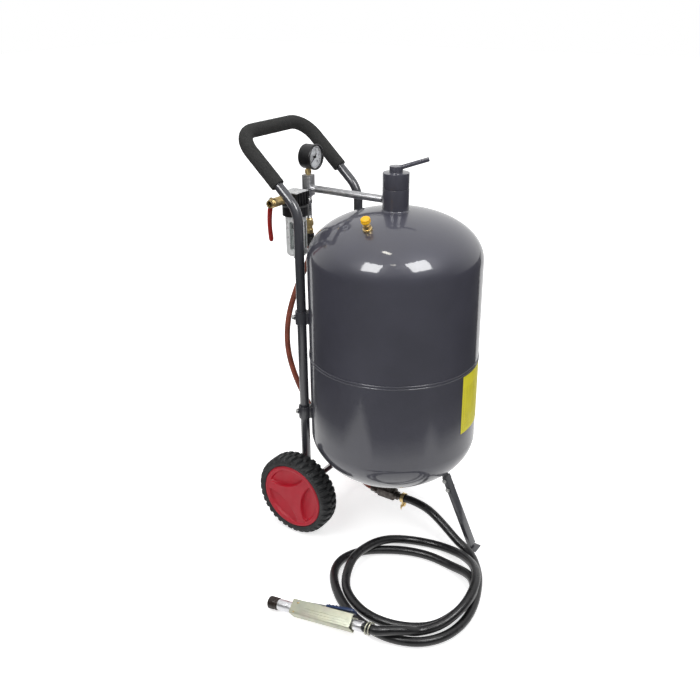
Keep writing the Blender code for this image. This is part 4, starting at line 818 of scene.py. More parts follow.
def filler():
    """Neck with its weld, screw cap with a turned hub, and the tommy bar through the hub."""
    seat = NECK_TOP - 0.0034
    profile = [
        (NECK_R, NECK_TOP), (NECK_R, NECK_FOOT), (NECK_BORE, NECK_FOOT),
        (NECK_BORE, seat), (0.0276, seat), (0.0276, NECK_TOP),
    ]
    neck = lathe(bmesh.new(), profile, steps=96, soft=0.0009)
    weld_bead(neck, NECK_R, lambda r: UPPER_TOP + dome_height(r, UPPER_DOME, UPPER_POWER, TANK_R), 0.003)
    collar = [(PIPE_R + 0.0036, -0.001), (PIPE_R + 0.0004, 0.0032), (PIPE_R + 0.0004, -0.003)]
    lathe(neck, collar, aim((0.0, NECK_R, AIR_Z), BACKWARD), 48, 0.0006)
    stand_in("filler_neck", neck, "tank_paint")
    base = NECK_TOP + 0.0003
    plug = 0.0246
    foot = low("filler_cap").z
    profile = [
        (0.0, CAP_HUB_TOP), (CAP_HUB_R, CAP_HUB_TOP), (CAP_HUB_R, CAP_TOP), (CAP_R, CAP_TOP),
        (CAP_R, base), (plug, base),
        *threads(plug, 0.0008, base - 0.0012, foot + 0.0006, 0.0024),
        (plug - 0.0008, foot), (0.0, foot),
    ]
    stand_in("filler_cap", lathe(bmesh.new(), profile, steps=96, soft=0.001), "tank_paint")
    along = heading(CAP_LEVER_AZIMUTH, CAP_LEVER_RISE)
    start = Vector((0.0, 0.0, CAP_HUB_TOP - 0.0065)) - along * (CAP_HUB_R - 0.003)
    bar = band(0.0, CAP_LEVER_R, CAP_LEVER_LENGTH, 0.0)
    stand_in("cap_lever", lathe(bmesh.new(), bar, aim(start, along), 40, 0.0018), "tank_paint")
    top, bottom = high("cap_seal_ring").z, low("cap_seal_ring").z
    profile = [(0.02725, top), (0.02725, bottom), (0.02495, bottom), (0.02495, top)]
    stand_in("cap_seal_ring", lathe(bmesh.new(), profile, steps=72, soft=0.001), "seal_rubber")


def safety_place():
    """The safety valve's frame: foot on the dome, Z square out of it, on the -X side."""
    step = 0.0005
    above = dome_height(SAFETY_RADIUS - step, UPPER_DOME, UPPER_POWER, TANK_R)
    below = dome_height(SAFETY_RADIUS + step, UPPER_DOME, UPPER_POWER, TANK_R)
    out = Vector((-(above - below) / (2.0 * step), 0.0, 1.0)).normalized()
    return aim((-SAFETY_RADIUS, 0.0, UPPER_TOP + (above + below) / 2.0), out)


def safety_valve():
    """Brass body with a hexagon, a yellow cap with milled flats, and the poppet under it."""
    place = safety_place()
    body = bmesh.new()
    profile = [
        (0.007, 0.019), (0.007, 0.0165), *threads(0.0071, 0.0006, 0.016, 0.0128, 0.0012),
        (0.0078, 0.0076), (0.0078, 0.0056), (0.0105, 0.005), (0.0105, -0.0003),
        (0.0066, -0.0003), (0.0066, -0.006), (0.003, -0.006), (0.003, 0.006),
        (0.0052, 0.006), (0.0052, 0.019),
    ]
    lathe(body, profile, place, 48, 0.0003)
    ring = [(0.0089, 0.0126), (0.0089, 0.0078), (0.0068, 0.0078), (0.0068, 0.0126)]
    lathe(body, ring, place, 6, 0.0)
    stand_in("safety_valve_body", body, "brass")
    profile = [
        (0.0, 0.024), (0.0016, 0.024), (0.0016, 0.0092), (0.0047, 0.0086), (0.0047, 0.0064), (0.0, 0.0064),
    ]
    stand_in("safety_valve_poppet", lathe(bmesh.new(), profile, place, 32, 0.0002), "brass")

    def flats(r, z, angle):
        share = abs(math.sin(angle * 4.5))
        return (r * (0.9 + 0.1 * share), z) if r > 0.0092 and 0.0205 < z < 0.029 else (r, z)

    profile = [
        (0.0, 0.031), (0.0075, 0.031), (0.01, 0.0292), (0.0108, 0.0284), (0.0108, 0.0262),
        (0.0103, 0.0256), (0.0103, 0.0246), (0.0108, 0.024), (0.0108, 0.0222), (0.01, 0.0195),
        (0.0019, 0.0195), (0.0019, 0.0243), (0.0, 0.0243),
    ]
    stand_in("safety_valve_cap", lathe(bmesh.new(), profile, place, 108, 0.0004, flats), "yellow_cap", 50.0)


def label():
    """A blank yellow label on the lower shell, just under the seam."""
    bm = bmesh.new()
    start, end = math.radians(LABEL_FROM), math.radians(LABEL_TO)
    steps = 28
    columns = []
    for step in range(steps + 1):
        angle = start + (end - start) * step / steps
        column = []
        for z in (LABEL_LOW, LABEL_HIGH):
            for r in (TANK_R + 0.0002, TANK_R + 0.0005):
                column.append(bm.verts.new((r * math.cos(angle), r * math.sin(angle), z)))
        columns.append([column[0], column[1], column[3], column[2]])
    skin(bm, columns)
    piece("blank_label", bm, None, ROOT, material=LABEL)


# Cart frame ------------------------------------------------------------------------------------------


def frame_corners():
    return [
        (-UPRIGHT_X, UPRIGHT_Y, UPRIGHT_FOOT),
        (-UPRIGHT_X, UPRIGHT_Y, HANDLE_BEND_Z),
        (-UPRIGHT_X, HANDLE_TOP_Y, HANDLE_TOP_Z),
        (UPRIGHT_X, HANDLE_TOP_Y, HANDLE_TOP_Z),
        (UPRIGHT_X, UPRIGHT_Y, HANDLE_BEND_Z),
        (UPRIGHT_X, UPRIGHT_Y, UPRIGHT_FOOT),
    ]


def handle():
    bends = [HANDLE_LOW_BEND, HANDLE_TOP_BEND, HANDLE_TOP_BEND, HANDLE_LOW_BEND]
    path = rounded_path(frame_corners(), bends)
    stand_in("handle_frame", tube(bmesh.new(), path, TUBE_R, 48, 0.0006), "frame_paint", 60.0)
    corners = [Vector(corner) for corner in frame_corners()]
    left = corners[1] + (corners[2] - corners[1]).normalized() * FOAM_START
    right = corners[4] + (corners[3] - corners[4]).normalized() * FOAM_START
    path = even_path(rounded_path([left, corners[2], corners[3], right], [HANDLE_TOP_BEND] * 2), 0.0022)
    stand_in("foam_grip", foam_sleeve(path), "foam", 60.0)


def foam_sleeve(path):
    """A soft sleeve: square ends, an uneven skin, shut down onto the tube at each end."""
    bm = bmesh.new()
    sides = 72
    frames = path_frames(path)
    total = len(frames) - 1
    rings = []
    inner = TUBE_R + 0.0004
    for index, place in enumerate(frames):
        near_end = min(index, total - index)
        ring = []
        for step in range(sides):
            angle = 2.0 * math.pi * step / sides
            out = Vector((math.cos(angle), math.sin(angle), 0.0))
            spot = place @ (out * FOAM_R)
            grain = 0.00022 * noise.noise(spot * 420.0) + 0.0003 * noise.noise(spot * 90.0)
            radius = FOAM_R + grain - (0.0006 if near_end == 0 else 0.0)
            ring.append(bm.verts.new(place @ (out * radius)))
        rings.append(ring)
    for first, second in zip(rings, rings[1:]):
        bridge(bm, first, second)
    for ring, place in ((rings[0], frames[0]), (rings[-1], frames[-1])):
        lip = [
            bm.verts.new(place @ Vector((inner * math.cos(a), inner * math.sin(a), 0.0)))
            for a in (2.0 * math.pi * step / sides for step in range(sides))
        ]
        bridge(bm, ring, lip)
        bm.faces.new(lip)
    return bm


def upright_outward(side):
    return Vector((side * UPRIGHT_X, UPRIGHT_Y, 0.0)).normalized()


def clamps():
    """Split collars on welded saddles, each with a hexagon bolt through its boss."""
    for side, label_side in SIDES:
        out = upright_outward(side)
        for level in ("lower", "upper"):
            node = f"tube_clamp_{level}_{label_side}"
            floor, top = low(node).z, high(node).z
            centre = Vector((side * UPRIGHT_X, UPRIGHT_Y, (floor + top) / 2.0))
            half = (top - floor) / 2.0
            bm = bmesh.new()
            place = Matrix.Translation(centre)
            bore = TUBE_R + 0.0004
            lathe(bm, band(bore, CLAMP_R, half, -half), place, 64, 0.0009)
            turn = Matrix.Rotation(math.atan2(out.y, out.x), 4, "Z")
            inner = math.hypot(UPRIGHT_X, UPRIGHT_Y) - TANK_R + 0.0006
            block(
                bm, (-inner, -0.0105, -half + 0.0025), (-bore + 0.0002, 0.0105, half - 0.0025),
                0.0012, place @ turn,
            )
            for lift in (-1.0, 1.0):
                path = [
                    Vector((-inner + 0.001, across, lift * (half - 0.0022)))
                    for across in (-0.0105, -0.005, 0.0, 0.005, 0.0105)
                ]
                tube(bm, [place @ turn @ spot for spot in path], 0.0014, 12, 0.0004)
            boss = aim(centre + out * (CLAMP_R - 0.002), out)
            lathe(bm, band(0.0034, 0.0064, 0.0042, 0.0), boss, 32, 0.0005)
            stand_in(node, bm, "frame_paint")
            bolt = bmesh.new()
            bolt_head(bolt, aim(centre + out * (CLAMP_R + 0.0034), out), 0.0058, 0.004)
            washer(bolt, aim(centre + out * (CLAMP_R + 0.0025), out), 0.003, 0.007, 0.0009)
            shank = band(0.0, 0.003, 0.0176, -0.012)
            lathe(bolt, shank, aim(centre, out), 24, 0.0003)
            stand_in(f"clamp_bolt_{level}_{label_side}", bolt, "zinc")


def braces():
    for side, label_side in SIDES:
        node = f"axle_brace_{label_side}"
        foot = Vector((UPRIGHT_Y, AXLE_Z))
        head = Vector((0.0925, 0.1944))
        along = (head - foot).normalized()
        left = Vector((-along.y, along.x))
        opening = math.asin(BRACE_HALF / BRACE_EYE_R)
        outline = []
        for step in range(33):
            angle = opening + (2.0 * math.pi - 2.0 * opening) * step / 32.0
            outline.append(foot + (along * math.cos(angle) + left * math.sin(angle)) * BRACE_EYE_R)
        outline += [head - left * BRACE_HALF, head + left * BRACE_HALF]
        x = (low(node).x + high(node).x) / 2.0
        bm = bmesh.new()
        prism(bm, [tuple(spot) for spot in outline], x - 0.0025, x + 0.0025, 0.0006, ALONG_X)
        stand_in(node, bm, "frame_paint")


def axle():
    bm = bmesh.new()
    start, end = low("axle"), high("axle")
    length = end.x - start.x
    place = aim((start.x, UPRIGHT_Y, AXLE_Z), RIGHTWARD)
    lathe(bm, band(0.0, AXLE_R, length, 0.0), place, 40, 0.001)
    stand_in("axle", bm, "zinc")


# Wheels ----------------------------------------------------------------------------------------------


def tyre_profile():
    """(radius, axial place, share of lug height) from the outer bead over the tread to the inner bead."""
    half = [
        (0.0843, 0.88, 0.0), (0.0847, 0.925, 0.0), (0.0856, 0.945, 0.0), (0.0868, 0.935, 0.0),
        (0.0874, 0.945, 0.0), (0.089, 0.968, 0.0), (0.0912, 0.99, 0.0), (0.093, 0.998, 0.0),
        (0.0938, 0.99, 0.15), (0.0946, 0.982, 0.6), (0.0956, 0.966, 1.0), (0.097, 0.925, 1.0),
        (0.0983, 0.86, 1.0), (0.0993, 0.77, 1.0), (0.1, 0.66, 1.0), (0.1005, 0.54, 1.0),
        (0.1008, 0.4, 1.0), (0.1008, 0.25, 1.0), (0.1008, 0.15, 1.0), (0.1008, 0.06, 1.0),
    ]
    outer = [(r, share * TYRE_HALF, lug) for r, share, lug in half]
    return outer + [(r, -z, lug) for r, z, lug in reversed(outer)]


def tyre(node, side):
    """A solid tyre whose tread stands in staggered transverse lugs that wrap over each shoulder."""
    profile = tyre_profile()
    weights = {(round(r, 6), round(z, 6)): lug for r, z, lug in profile}
    rise = 0.0058
    sink = 0.0016

    def lugs(r, z, angle):
        lug = weights.get((round(r, 6), round(z, 6)), 0.0)
        if lug == 0.0:
            return r, z
        side_phase = 0.0 if z > 0.0 else 0.5
        skew = 0.22 * (1.0 - min(abs(z) / TYRE_HALF, 1.0))
        turn = (angle * LUGS / (2.0 * math.pi) + side_phase + skew) % 1.0
        block_share = smooth_step(turn, 0.02, 0.13) * (1.0 - smooth_step(turn, 0.6, 0.71))
        lean = smooth_step(abs(z), TYRE_HALF * 0.7, TYRE_HALF)
        height = rise * lug * block_share
        return r - sink * lug + height * (1.0 - 0.55 * lean), z + math.copysign(height * 0.2 * lean, z)

    bm = bmesh.new()
    place = aim((side * WHEEL_X, UPRIGHT_Y, AXLE_Z), (side, 0.0, 0.0))
    lathe(bm, [(r, z) for r, z, lug in profile], place, LUGS * 18, 0.0, lugs)
    stand_in(node, bm, "tyre", 40.0)


SCOOP_START = math.radians(70.0)
SCOOP_SPACING = math.radians(120.0)
RECESS_RIM = 0.0735
RECESS_ARC = 0.092
RECESS_CENTRE = 0.027 + RECESS_ARC
RECESS_DEPTH = 0.0105


def recess(radius, angle):
    """Depth of the three lens-shaped scoops at one point of the hub's face."""
    deepest = 0.0
    for index in range(3):
        turn = angle - SCOOP_START - SCOOP_SPACING * index
        x, y = radius * math.cos(turn), radius * math.sin(turn)
        from_rim = RECESS_RIM - radius
        from_arc = RECESS_ARC - math.hypot(x - RECESS_CENTRE, y)
        if x <= 0.0 or from_rim <= 0.0 or from_arc <= 0.0:
            continue
        wall = smooth_step(from_arc, 0.0, 0.0032) * smooth_step(from_rim, 0.0, 0.0045)
        floor = RECESS_DEPTH * (0.62 + 0.38 * smooth_step(from_rim, 0.0, 0.03))
        deepest = max(deepest, wall * floor)
    return deepest


def hub(node, side):
    """The moulded centre: a flat Y between three scooped recesses, inside a rounded rim."""
    face = TYRE_HALF * 0.9
    back = -TYRE_HALF * 0.84
    lip = TYRE_HALF * 0.965
    rings = 66
    profile = [(0.0, face)]
    profile += [(0.0748 * (step + 1) / rings, face) for step in range(rings)]
    profile += [
        (0.0758, face + 0.0004), (0.0766, lip - 0.0006), (0.0774, lip - 0.0001), (0.0786, lip),
        (0.0802, lip), (0.0816, lip - 0.0003), (0.0828, lip - 0.001), (0.0836, face - 0.0006),
        (HUB_R, face - 0.0022), (HUB_R, back), (HUB_R - 0.006, back), (HUB_R - 0.008, 0.0028),
        (0.018, 0.0028), (0.016, -TYRE_HALF * 0.96), (0.0086, -TYRE_HALF * 0.96), (0.0086, -0.002),
        (0.0, -0.002),
    ]

    def scoop(r, z, angle):
        return (r, z - recess(r, angle)) if abs(z - face) < 1e-9 else (r, z)

    bm = bmesh.new()
    spin = Matrix.Rotation(hub_turn(side), 4, "Z")
    place = aim((side * WHEEL_X, UPRIGHT_Y, AXLE_Z), (side, 0.0, 0.0)) @ spin
    lathe(bm, profile, place, 216, 0.0, scoop)
    stand_in(node, bm, "hub", 48.0)


def hub_turn(side):
    """Turns the scoops so that the first lies at its angle up from the cart's +Y, seen in its YZ plane."""
    local = aim((0.0, 0.0, 0.0), (side, 0.0, 0.0)).to_3x3()
    want = Vector((0.0, math.cos(SCOOP_START), math.sin(SCOOP_START)))
    seen = local.inverted() @ want
    return math.atan2(seen.y, seen.x) - SCOOP_START


def wheels():
    for side, label_side in SIDES:
        tyre(f"tyre_{label_side}", side)
        hub(f"wheel_hub_{label_side}", side)


# Front leg -------------------------------------------------------------------------------------------


LEG_TOP = Vector((0.0, -0.157, 0.183))
LEG_END = Vector((0.0, -0.238, 0.005))
LEG_BOLT_Y = 0.0067
LEG_BOLT_R = 0.0025


def leg_frame():
    """Local axes of the leg: Z runs up it, X is the cart's X and Y faces the tank."""
    up = (LEG_TOP - LEG_END).normalized()
    across = Vector((1.0, 0.0, 0.0))
    inward = up.cross(across)
    place = Matrix((across, inward, up)).transposed().to_4x4()
    place.translation = LEG_END
    return place, (LEG_TOP - LEG_END).length


def leg():
    """Folded channel leg with through bolts, its tongue under the dome and its foot plate."""
    place, length = leg_frame()
    outline = [
        (-0.0115, 0.0105), (-0.0115, 0.0), (0.0115, 0.0), (0.0115, 0.0105),
        (0.009, 0.0105), (0.009, 0.0025), (-0.009, 0.0025), (-0.009, 0.0105),
    ]
    bm = bmesh.new()
    prism(bm, outline, 0.0052, length, 0.0009, place)
    stand_in("front_leg", bm, "frame_paint")
    for node, height in (("leg_bolt_upper", length - 0.01), ("leg_bolt_lower", length - 0.034)):
        centre = place @ Vector((0.0, LEG_BOLT_Y, height))
        bolt = bmesh.new()
        for side, _ in SIDES[::-1]:
            out = Vector((side, 0.0, 0.0))
            bolt_head(bolt, aim(centre + out * 0.0118, out), 0.0056, 0.004)
        thread = threads(LEG_BOLT_R, 0.0004, 0.017, 0.012, 0.001)
        shank = [(0.0, 0.0172), *thread, (LEG_BOLT_R, -0.015), (0.0, -0.015)]
        lathe(bolt, shank, aim(centre, RIGHTWARD), 24, 0.0)
        stand_in(node, bolt, "zinc")
    outline = [(0.0085, 0.0028), (0.0085, 0.0106), (-0.0085, 0.0106), (-0.0085, 0.0028)]
    bracket = bmesh.new()
    prism(bracket, outline, length - 0.043, length + 0.012, 0.0006, place)
    stand_in("leg_bracket", bracket, "frame_paint")
    foot = bmesh.new()
    block(foot, low("leg_foot"), high("leg_foot"), 0.0012)
    stand_in("leg_foot", foot, "frame_paint")


# Air train -------------------------------------------------------------------------------------------


def manifold():
    bm = bmesh.new()
    start, end = low("manifold_block"), high("manifold_block")
    block(bm, start, end, 0.0012)
    for axis, reach in (((0.0, -1.0, 0.0), 0.011), ((0.0, 0.0, -1.0), AIR_Z - BLOCK_FOOT)):
        boss = band(0.0, 0.0102, 0.0012, -0.001)
        spot = Vector((0.0, AIR_Y, AIR_Z)) + Vector(axis) * reach
        lathe(bm, boss, aim(spot, axis), 40, 0.0004)
    plug = aim((0.0, AIR_Y + 0.011, AIR_Z), BACKWARD)
    lathe(bm, band(0.0, 0.0062, 0.0016, 0.0), plug, 32, 0.0004)
    stand_in("manifold_block", bm, "galvanised")


def feed_pipe():
    start, end = low("feed_pipe").y, high("feed_pipe").y
    length = end - start
    place = aim((0.0, start, AIR_Z), BACKWARD)
    wall = 0.0022
    profile = [
        (PIPE_R - wall, 0.0), (PIPE_R, 0.0), (PIPE_R, length - 0.018),
        *threads(PIPE_R, 0.0006, length - 0.0175, length - 0.001, 0.0014),
        (PIPE_R - 0.0005, length), (PIPE_R - wall, length),
    ]
    stand_in("feed_pipe", lathe(bmesh.new(), profile, place, 48, 0.0002, rounds=2), "galvanised")


def gauge():
    """Bourdon gauge facing -Y: brass stem with a hexagon, pressed case, printed dial, pointer, window."""
    stem = bmesh.new()
    place = aim((0.0, AIR_Y, BLOCK_TOP), UP)
    profile = [
        (0.0052, 0.0185), (0.0052, 0.0125), (0.006, 0.0122), (0.006, 0.0006),
        (0.0032, 0.0003), (0.0032, -0.008), (0.0012, -0.008), (0.0012, 0.0185),
    ]
    lathe(stem, profile, place, 40, 0.0003)
    prism(stem, polygon(6, 0.0078), 0.0026, 0.0112, 0.0004, place)
    stand_in("gauge_stem", stem, "brass")
    place = aim((0.0, AIR_Y, GAUGE_Z), FORWARD)
    profile = [
        (0.0262, 0.0258), (0.0276, 0.0262), (0.029, 0.0252), (0.0295, 0.0236), (0.0295, 0.0205),
        (0.029, 0.0196), (0.0281, 0.0192), (0.028, 0.015), (0.028, -0.006), (0.0268, -0.0084),
        (0.024, -0.01), (0.006, -0.0104), (0.0, -0.0104), (0.0, -0.0075), (0.0256, -0.0065),
        (0.0256, 0.023), (0.0262, 0.0236),
    ]
    stand_in("gauge_case", lathe(bmesh.new(), profile, place, 96, 0.0004), "black_plastic")
    dial = [(0.0253, 0.0182), (0.0253, 0.017), (0.0014, 0.017), (0.0014, 0.0182)]
    stand_in("gauge_dial", lathe(bmesh.new(), dial, place, 96, 0.0001), "dial")
    dial_print()
    window = [(0.0, 0.0256), (0.0259, 0.0251), (0.0259, 0.024), (0.0, 0.0243)]
    lens = stand_in("gauge_lens", lathe(bmesh.new(), window, place, 72, 0.0002), "gauge_glass")
    lens.visible_shadow = False
    pointer()


DIAL_ZERO = 225.0
DIAL_SWEEP = 270.0


def dial_frame():
    """The dial's plane seen from the front: X right, Y up, Z towards the reader."""
    return Matrix.Translation((0.0, AIR_Y - 0.0182, GAUGE_Z)) @ Matrix.Rotation(math.pi / 2.0, 4, "X")


def dial_print():
    """Scale ring, ticks every 1/50 of the sweep and plain numbers every fifth major tick."""
    bm = bmesh.new()
    place = dial_frame()
    ticks = 50
    for step in range(ticks + 1):
        major = step % 5 == 0
        angle = math.radians(DIAL_ZERO - DIAL_SWEEP * step / ticks)
        inner = 0.0188 if major else 0.0203
        width = 0.00036 if major else 0.00018
        turn = place @ Matrix.Rotation(angle, 4, "Z")
        block(bm, (inner, -width, 0.0), (0.0222, width, 0.00015), 0.00003, turn, 1)
    lathe(bm, [(0.0224, 0.00015), (0.0224, 0.0), (0.0221, 0.0), (0.0221, 0.00015)], place, 96, 0.0)
    piece("gauge_scale", bm, "needle", ROOT, material=PRINT)
    numbers = 6
    for index in range(numbers):
        angle = math.radians(DIAL_ZERO - DIAL_SWEEP * index / (numbers - 1.0))
        number = bpy.data.curves.new(f"dial_number_{index}", "FONT")
        number.body = str(index * 2)
        number.size = 0.0056
        number.extrude = 0.00005
        number.align_x = "CENTER"
        number.align_y = "CENTER"
        number.materials.append(PRINT)
        spot = Vector((0.015 * math.cos(angle), 0.015 * math.sin(angle), 0.00008))
        stand = Matrix.Translation(AXIS) @ place @ Matrix.Translation(spot)
        made = show(f"dial_number_{index}", number, stand)
        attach(made, ROOT)


def pointer():
    bm = bmesh.new()
    turn = Matrix.Rotation(math.radians(DIAL_ZERO), 4, "Z")
    place = dial_frame() @ Matrix.Translation((0.0, 0.0, 0.002)) @ turn
    outline = [
        (-0.0085, -0.0014), (-0.006, -0.0009), (0.0, -0.001), (0.0205, -0.0002),
        (0.0205, 0.0002), (0.0, 0.001), (-0.006, 0.0009), (-0.0085, 0.0014),
    ]
    prism(bm, outline, -0.0003, 0.0003, 0.0001, place, 1)
    lathe(bm, band(0.0, 0.003, 0.0018, -0.0006), place, 32, 0.0006)
    lathe(bm, band(0.0, 0.0012, 0.0, -0.0046), place, 16, 0.0001)
    stand_in("gauge_needle", bm, "needle")


def separator():
    """Filter head with cooling ribs and a bright lid, clear bowl inside a slotted guard, drain knob."""
    head = bmesh.new()
    collar = HEAD_SHOULDER - 0.003 - HEAD_FOOT
    profile = [
        (0.0, HEAD_SHOULDER), (HEAD_R - 0.004, HEAD_SHOULDER), (HEAD_R, HEAD_SHOULDER - 0.003),
        *[(HEAD_R, HEAD_FOOT + collar * share) for share in (0.9, 0.6, 0.35, 0.12)],
        (HEAD_R, HEAD_FOOT), (0.0255, HEAD_FOOT), (0.0255, HEAD_FOOT + 0.013), (0.0, HEAD_FOOT + 0.013),
    ]

    def grip_ribs(r, z, angle):
        share = abs(math.sin(angle * 14.0))
        ribbed = r > HEAD_R - 0.0005 and HEAD_FOOT + 0.002 < z < HEAD_SHOULDER - 0.004
        return (r - 0.0007 * (1.0 - share), z) if ribbed else (r, z)

    lathe(head, profile, SEPARATOR, 168, 0.0, grip_ribs)
    prism(head, ribbed_outline(), HEAD_SHOULDER - 0.004, HEAD_TOP - 0.0016, 0.0005, SEPARATOR, 2, 40.0)
    ports = ((0.018, 0.0417, 0.0095), (0.03, 0.054, 0.0052), (-0.0345, -0.018, 0.0102))
    for start, end, radius in ports:
        line = aim((SEPARATOR_X + start, AIR_Y, SIDE_Z), RIGHTWARD)
        lathe(head, band(0.0, radius, end - start, 0.0), line, 48, 0.0006)
    stand_in("separator_head", head, "black_plastic")
    lid = bmesh.new()
    block(
        lid, (-HEAD_HALF_X - 0.0004, -HEAD_HALF_Y - 0.0004, HEAD_TOP - 0.0016),
        (HEAD_HALF_X + 0.0004, HEAD_HALF_Y + 0.0004, HEAD_TOP + 0.0004), 0.0007, SEPARATOR,
    )
    for x in (-0.0165, 0.0165):
        for y in (-0.015, 0.015):
            spot = aim((SEPARATOR_X + x, AIR_Y + y, HEAD_TOP + 0.0003), UP)
            lathe(lid, [(0.0, 0.001), (0.0022, 0.001), (0.0026, 0.0), (0.0, 0.0)], spot, 24, 0.0003)
    piece("separator_lid", lid, "guard", ROOT)
    bowl()
    guard()
    drain()


def ribbed_outline():
    """The head's plan: a block whose front and back faces are cut into upright ribs."""
    slots = [0.0105 * (index - 1.5) for index in range(4)]
    half_slot = 0.0028
    depth = 0.0034
    front = [(-HEAD_HALF_X, -HEAD_HALF_Y)]
    for x in slots:
        front += [(x - half_slot, -HEAD_HALF_Y), (x - half_slot + 0.0004, -HEAD_HALF_Y + depth)]
        front += [(x + half_slot - 0.0004, -HEAD_HALF_Y + depth), (x + half_slot, -HEAD_HALF_Y)]
    front.append((HEAD_HALF_X, -HEAD_HALF_Y))
    return front + [(-x, -y) for x, y in front]


def bowl():
    top = HEAD_FOOT + 0.012
    profile = [
        (0.0215, top), (0.0215, BOWL_FOOT + 0.008), (0.0165, BOWL_FOOT + 0.0025),
        (0.004, BOWL_FOOT + 0.0025), (0.004, BOWL_FOOT + 0.005), (0.0155, BOWL_FOOT + 0.005),
        (0.019, BOWL_FOOT + 0.009), (0.019, top),
    ]
    shell = stand_in("separator_bowl", lathe(bmesh.new(), profile, SEPARATOR, 72, 0.0008), "clear_bowl")
    shell.visible_shadow = False
    spot = Matrix.Translation((SEPARATOR_X + 0.004, AIR_Y, 0.0))
    foot = HEAD_FOOT - 0.035
    ribs = [(0.01 + (0.0006 if step % 2 else 0.0), HEAD_FOOT - 0.002 * step) for step in range(15)]
    profile = [
        (0.01, top), *ribs, (0.0125, foot + 0.004), (0.0125, foot),
        (0.003, foot + 0.0001), (0.007, foot + 0.005), (0.007, top),
    ]
    stand_in("filter_element", lathe(bmesh.new(), profile, spot, 48, 0.0002), "filter")


def guard():
    """A turned shell with four long windows. The windows are left out of the grid, then it is thickened."""
    window_low, window_high = BOWL_FOOT + 0.017, HEAD_FOOT - 0.013
    first_window, window_spacing = 10.0, 90.0
    heights = [HEAD_FOOT + 0.0125, HEAD_FOOT - 0.004, window_high + 0.004, window_high]
    heights += [window_high - 0.002, window_high - 0.004]
    heights += [window_low + 0.004, window_low + 0.002, window_low, window_low - 0.004]
    profile = [(GUARD_R, z) for z in heights]
    profile += [(GUARD_R, BOWL_FOOT + 0.007), (GUARD_R - 0.001, BOWL_FOOT + 0.004)]
    profile += [(GUARD_R - 0.0035, BOWL_FOOT + 0.0012), (GUARD_R - 0.0065, BOWL_FOOT), (0.0085, BOWL_FOOT)]
    steps = 144
    bm = bmesh.new()
    rings = []
    for radius, z in profile:
        ring = [SEPARATOR @ Vector((x, y, z)) for x, y in polygon(steps, radius)]
        rings.append([bm.verts.new(spot) for spot in ring])
    for row, (first, second) in enumerate(zip(rings, rings[1:])):
        z_mid = (profile[row][1] + profile[row + 1][1]) / 2.0
        for step in range(steps):
            angle = math.degrees(2.0 * math.pi * (step + 0.5) / steps)
            half_spacing = window_spacing / 2.0
            from_centre = abs((angle - first_window + half_spacing) % window_spacing - half_spacing)
            from_end = min(window_high - z_mid, z_mid - window_low)
            half_width = 12.5 if from_end > 0.003 else (10.0 if from_end > 0.0012 else 7.5)
            if from_end > 0.0 and from_centre < half_width:
                continue
            onward = (step + 1) % steps
            bm.faces.new([first[step], first[onward], second[onward], second[step]])
    loose = [vertex for vertex in bm.verts if not vertex.link_faces]
    bmesh.ops.delete(bm, geom=loose, context="VERTS")
    obj = stand_in("bowl_guard", bm, "guard", 40.0)
    shell = obj.modifiers.new("wall", "SOLIDIFY")
    shell.thickness = 0.0016
    shell.offset = -1.0
    rim = obj.modifiers.new("rim", "BEVEL")
    rim.width = 0.0003
    rim.segments = 2
    rim.limit_method = "ANGLE"
    rim.angle_limit = math.radians(50.0)


def drain():

    def flutes(r, z, angle):
        return (r * (0.88 + 0.12 * abs(math.cos(angle * 3.0)) ** 0.6), z) if r > 0.006 else (r, z)

    profile = [
        (0.0, BOWL_FOOT + 0.009), (0.0036, BOWL_FOOT + 0.009), (0.0036, BOWL_FOOT - 0.001),
        (0.0074, BOWL_FOOT - 0.0016), (0.008, BOWL_FOOT - 0.009), (0.003, BOWL_FOOT - 0.01),
        (0.0, BOWL_FOOT - 0.01),
    ]
    stand_in("drain_knob", lathe(bmesh.new(), profile, SEPARATOR, 96, 0.0005, flutes), "black_plastic")


def inlet_valve():
    """Brass ball valve: hollow inlet socket, hexagon body, stem gland, and a sleeved hanging lever."""
    body = bmesh.new()
    place = aim((VALVE_X, AIR_Y, SIDE_Z), (-1.0, 0.0, 0.0))
    profile = [
        (0.0088, 0.028), (0.0088, 0.0262), (0.0076, 0.0256), (0.0076, 0.0225), (0.0086, 0.0218),
        (0.0086, 0.019), (0.01, 0.0185), (0.0106, 0.01), (0.0106, -0.01), (0.0092, -0.015),
        (0.007, -0.0152),
        *threads(0.0066, 0.0006, -0.0155, -0.0245, 0.0013),
        (0.0045, -0.025), (0.0045, -0.0072), (0.0078, -0.0072), (0.0078, 0.0072), (0.006, 0.011),
        (0.006, 0.028),
    ]
    lathe(body, profile, place, 64, 0.0004)
    for start, end in ((0.012, 0.0182), (-0.0148, -0.0092)):
        ring = [(0.0113, end), (0.0113, start), (0.009, start), (0.009, end)]
        lathe(body, ring, place, 6, 0.0)
    gland = aim((VALVE_X, AIR_Y + 0.008, SIDE_Z), BACKWARD)
    lathe(body, band(0.0031, 0.0068, 0.007, 0.0), gland, 32, 0.0005)
    stand_in("inlet_valve_body", body, "brass")
    ball = bmesh.new()
    count = 12
    bore = 0.0036
    radius = 0.0069
    rim = math.asin(bore / radius)
    turns = [rim + (math.pi - 2.0 * rim) * step / count for step in range(count + 1)]
    profile = [(radius * math.sin(turn), radius * math.cos(turn)) for turn in turns]
    lathe(ball, profile, Matrix.Translation((VALVE_X, AIR_Y, SIDE_Z)), 48, 0.0)
    stand_in("inlet_valve_ball", ball, "steel")
    inlet_lever()


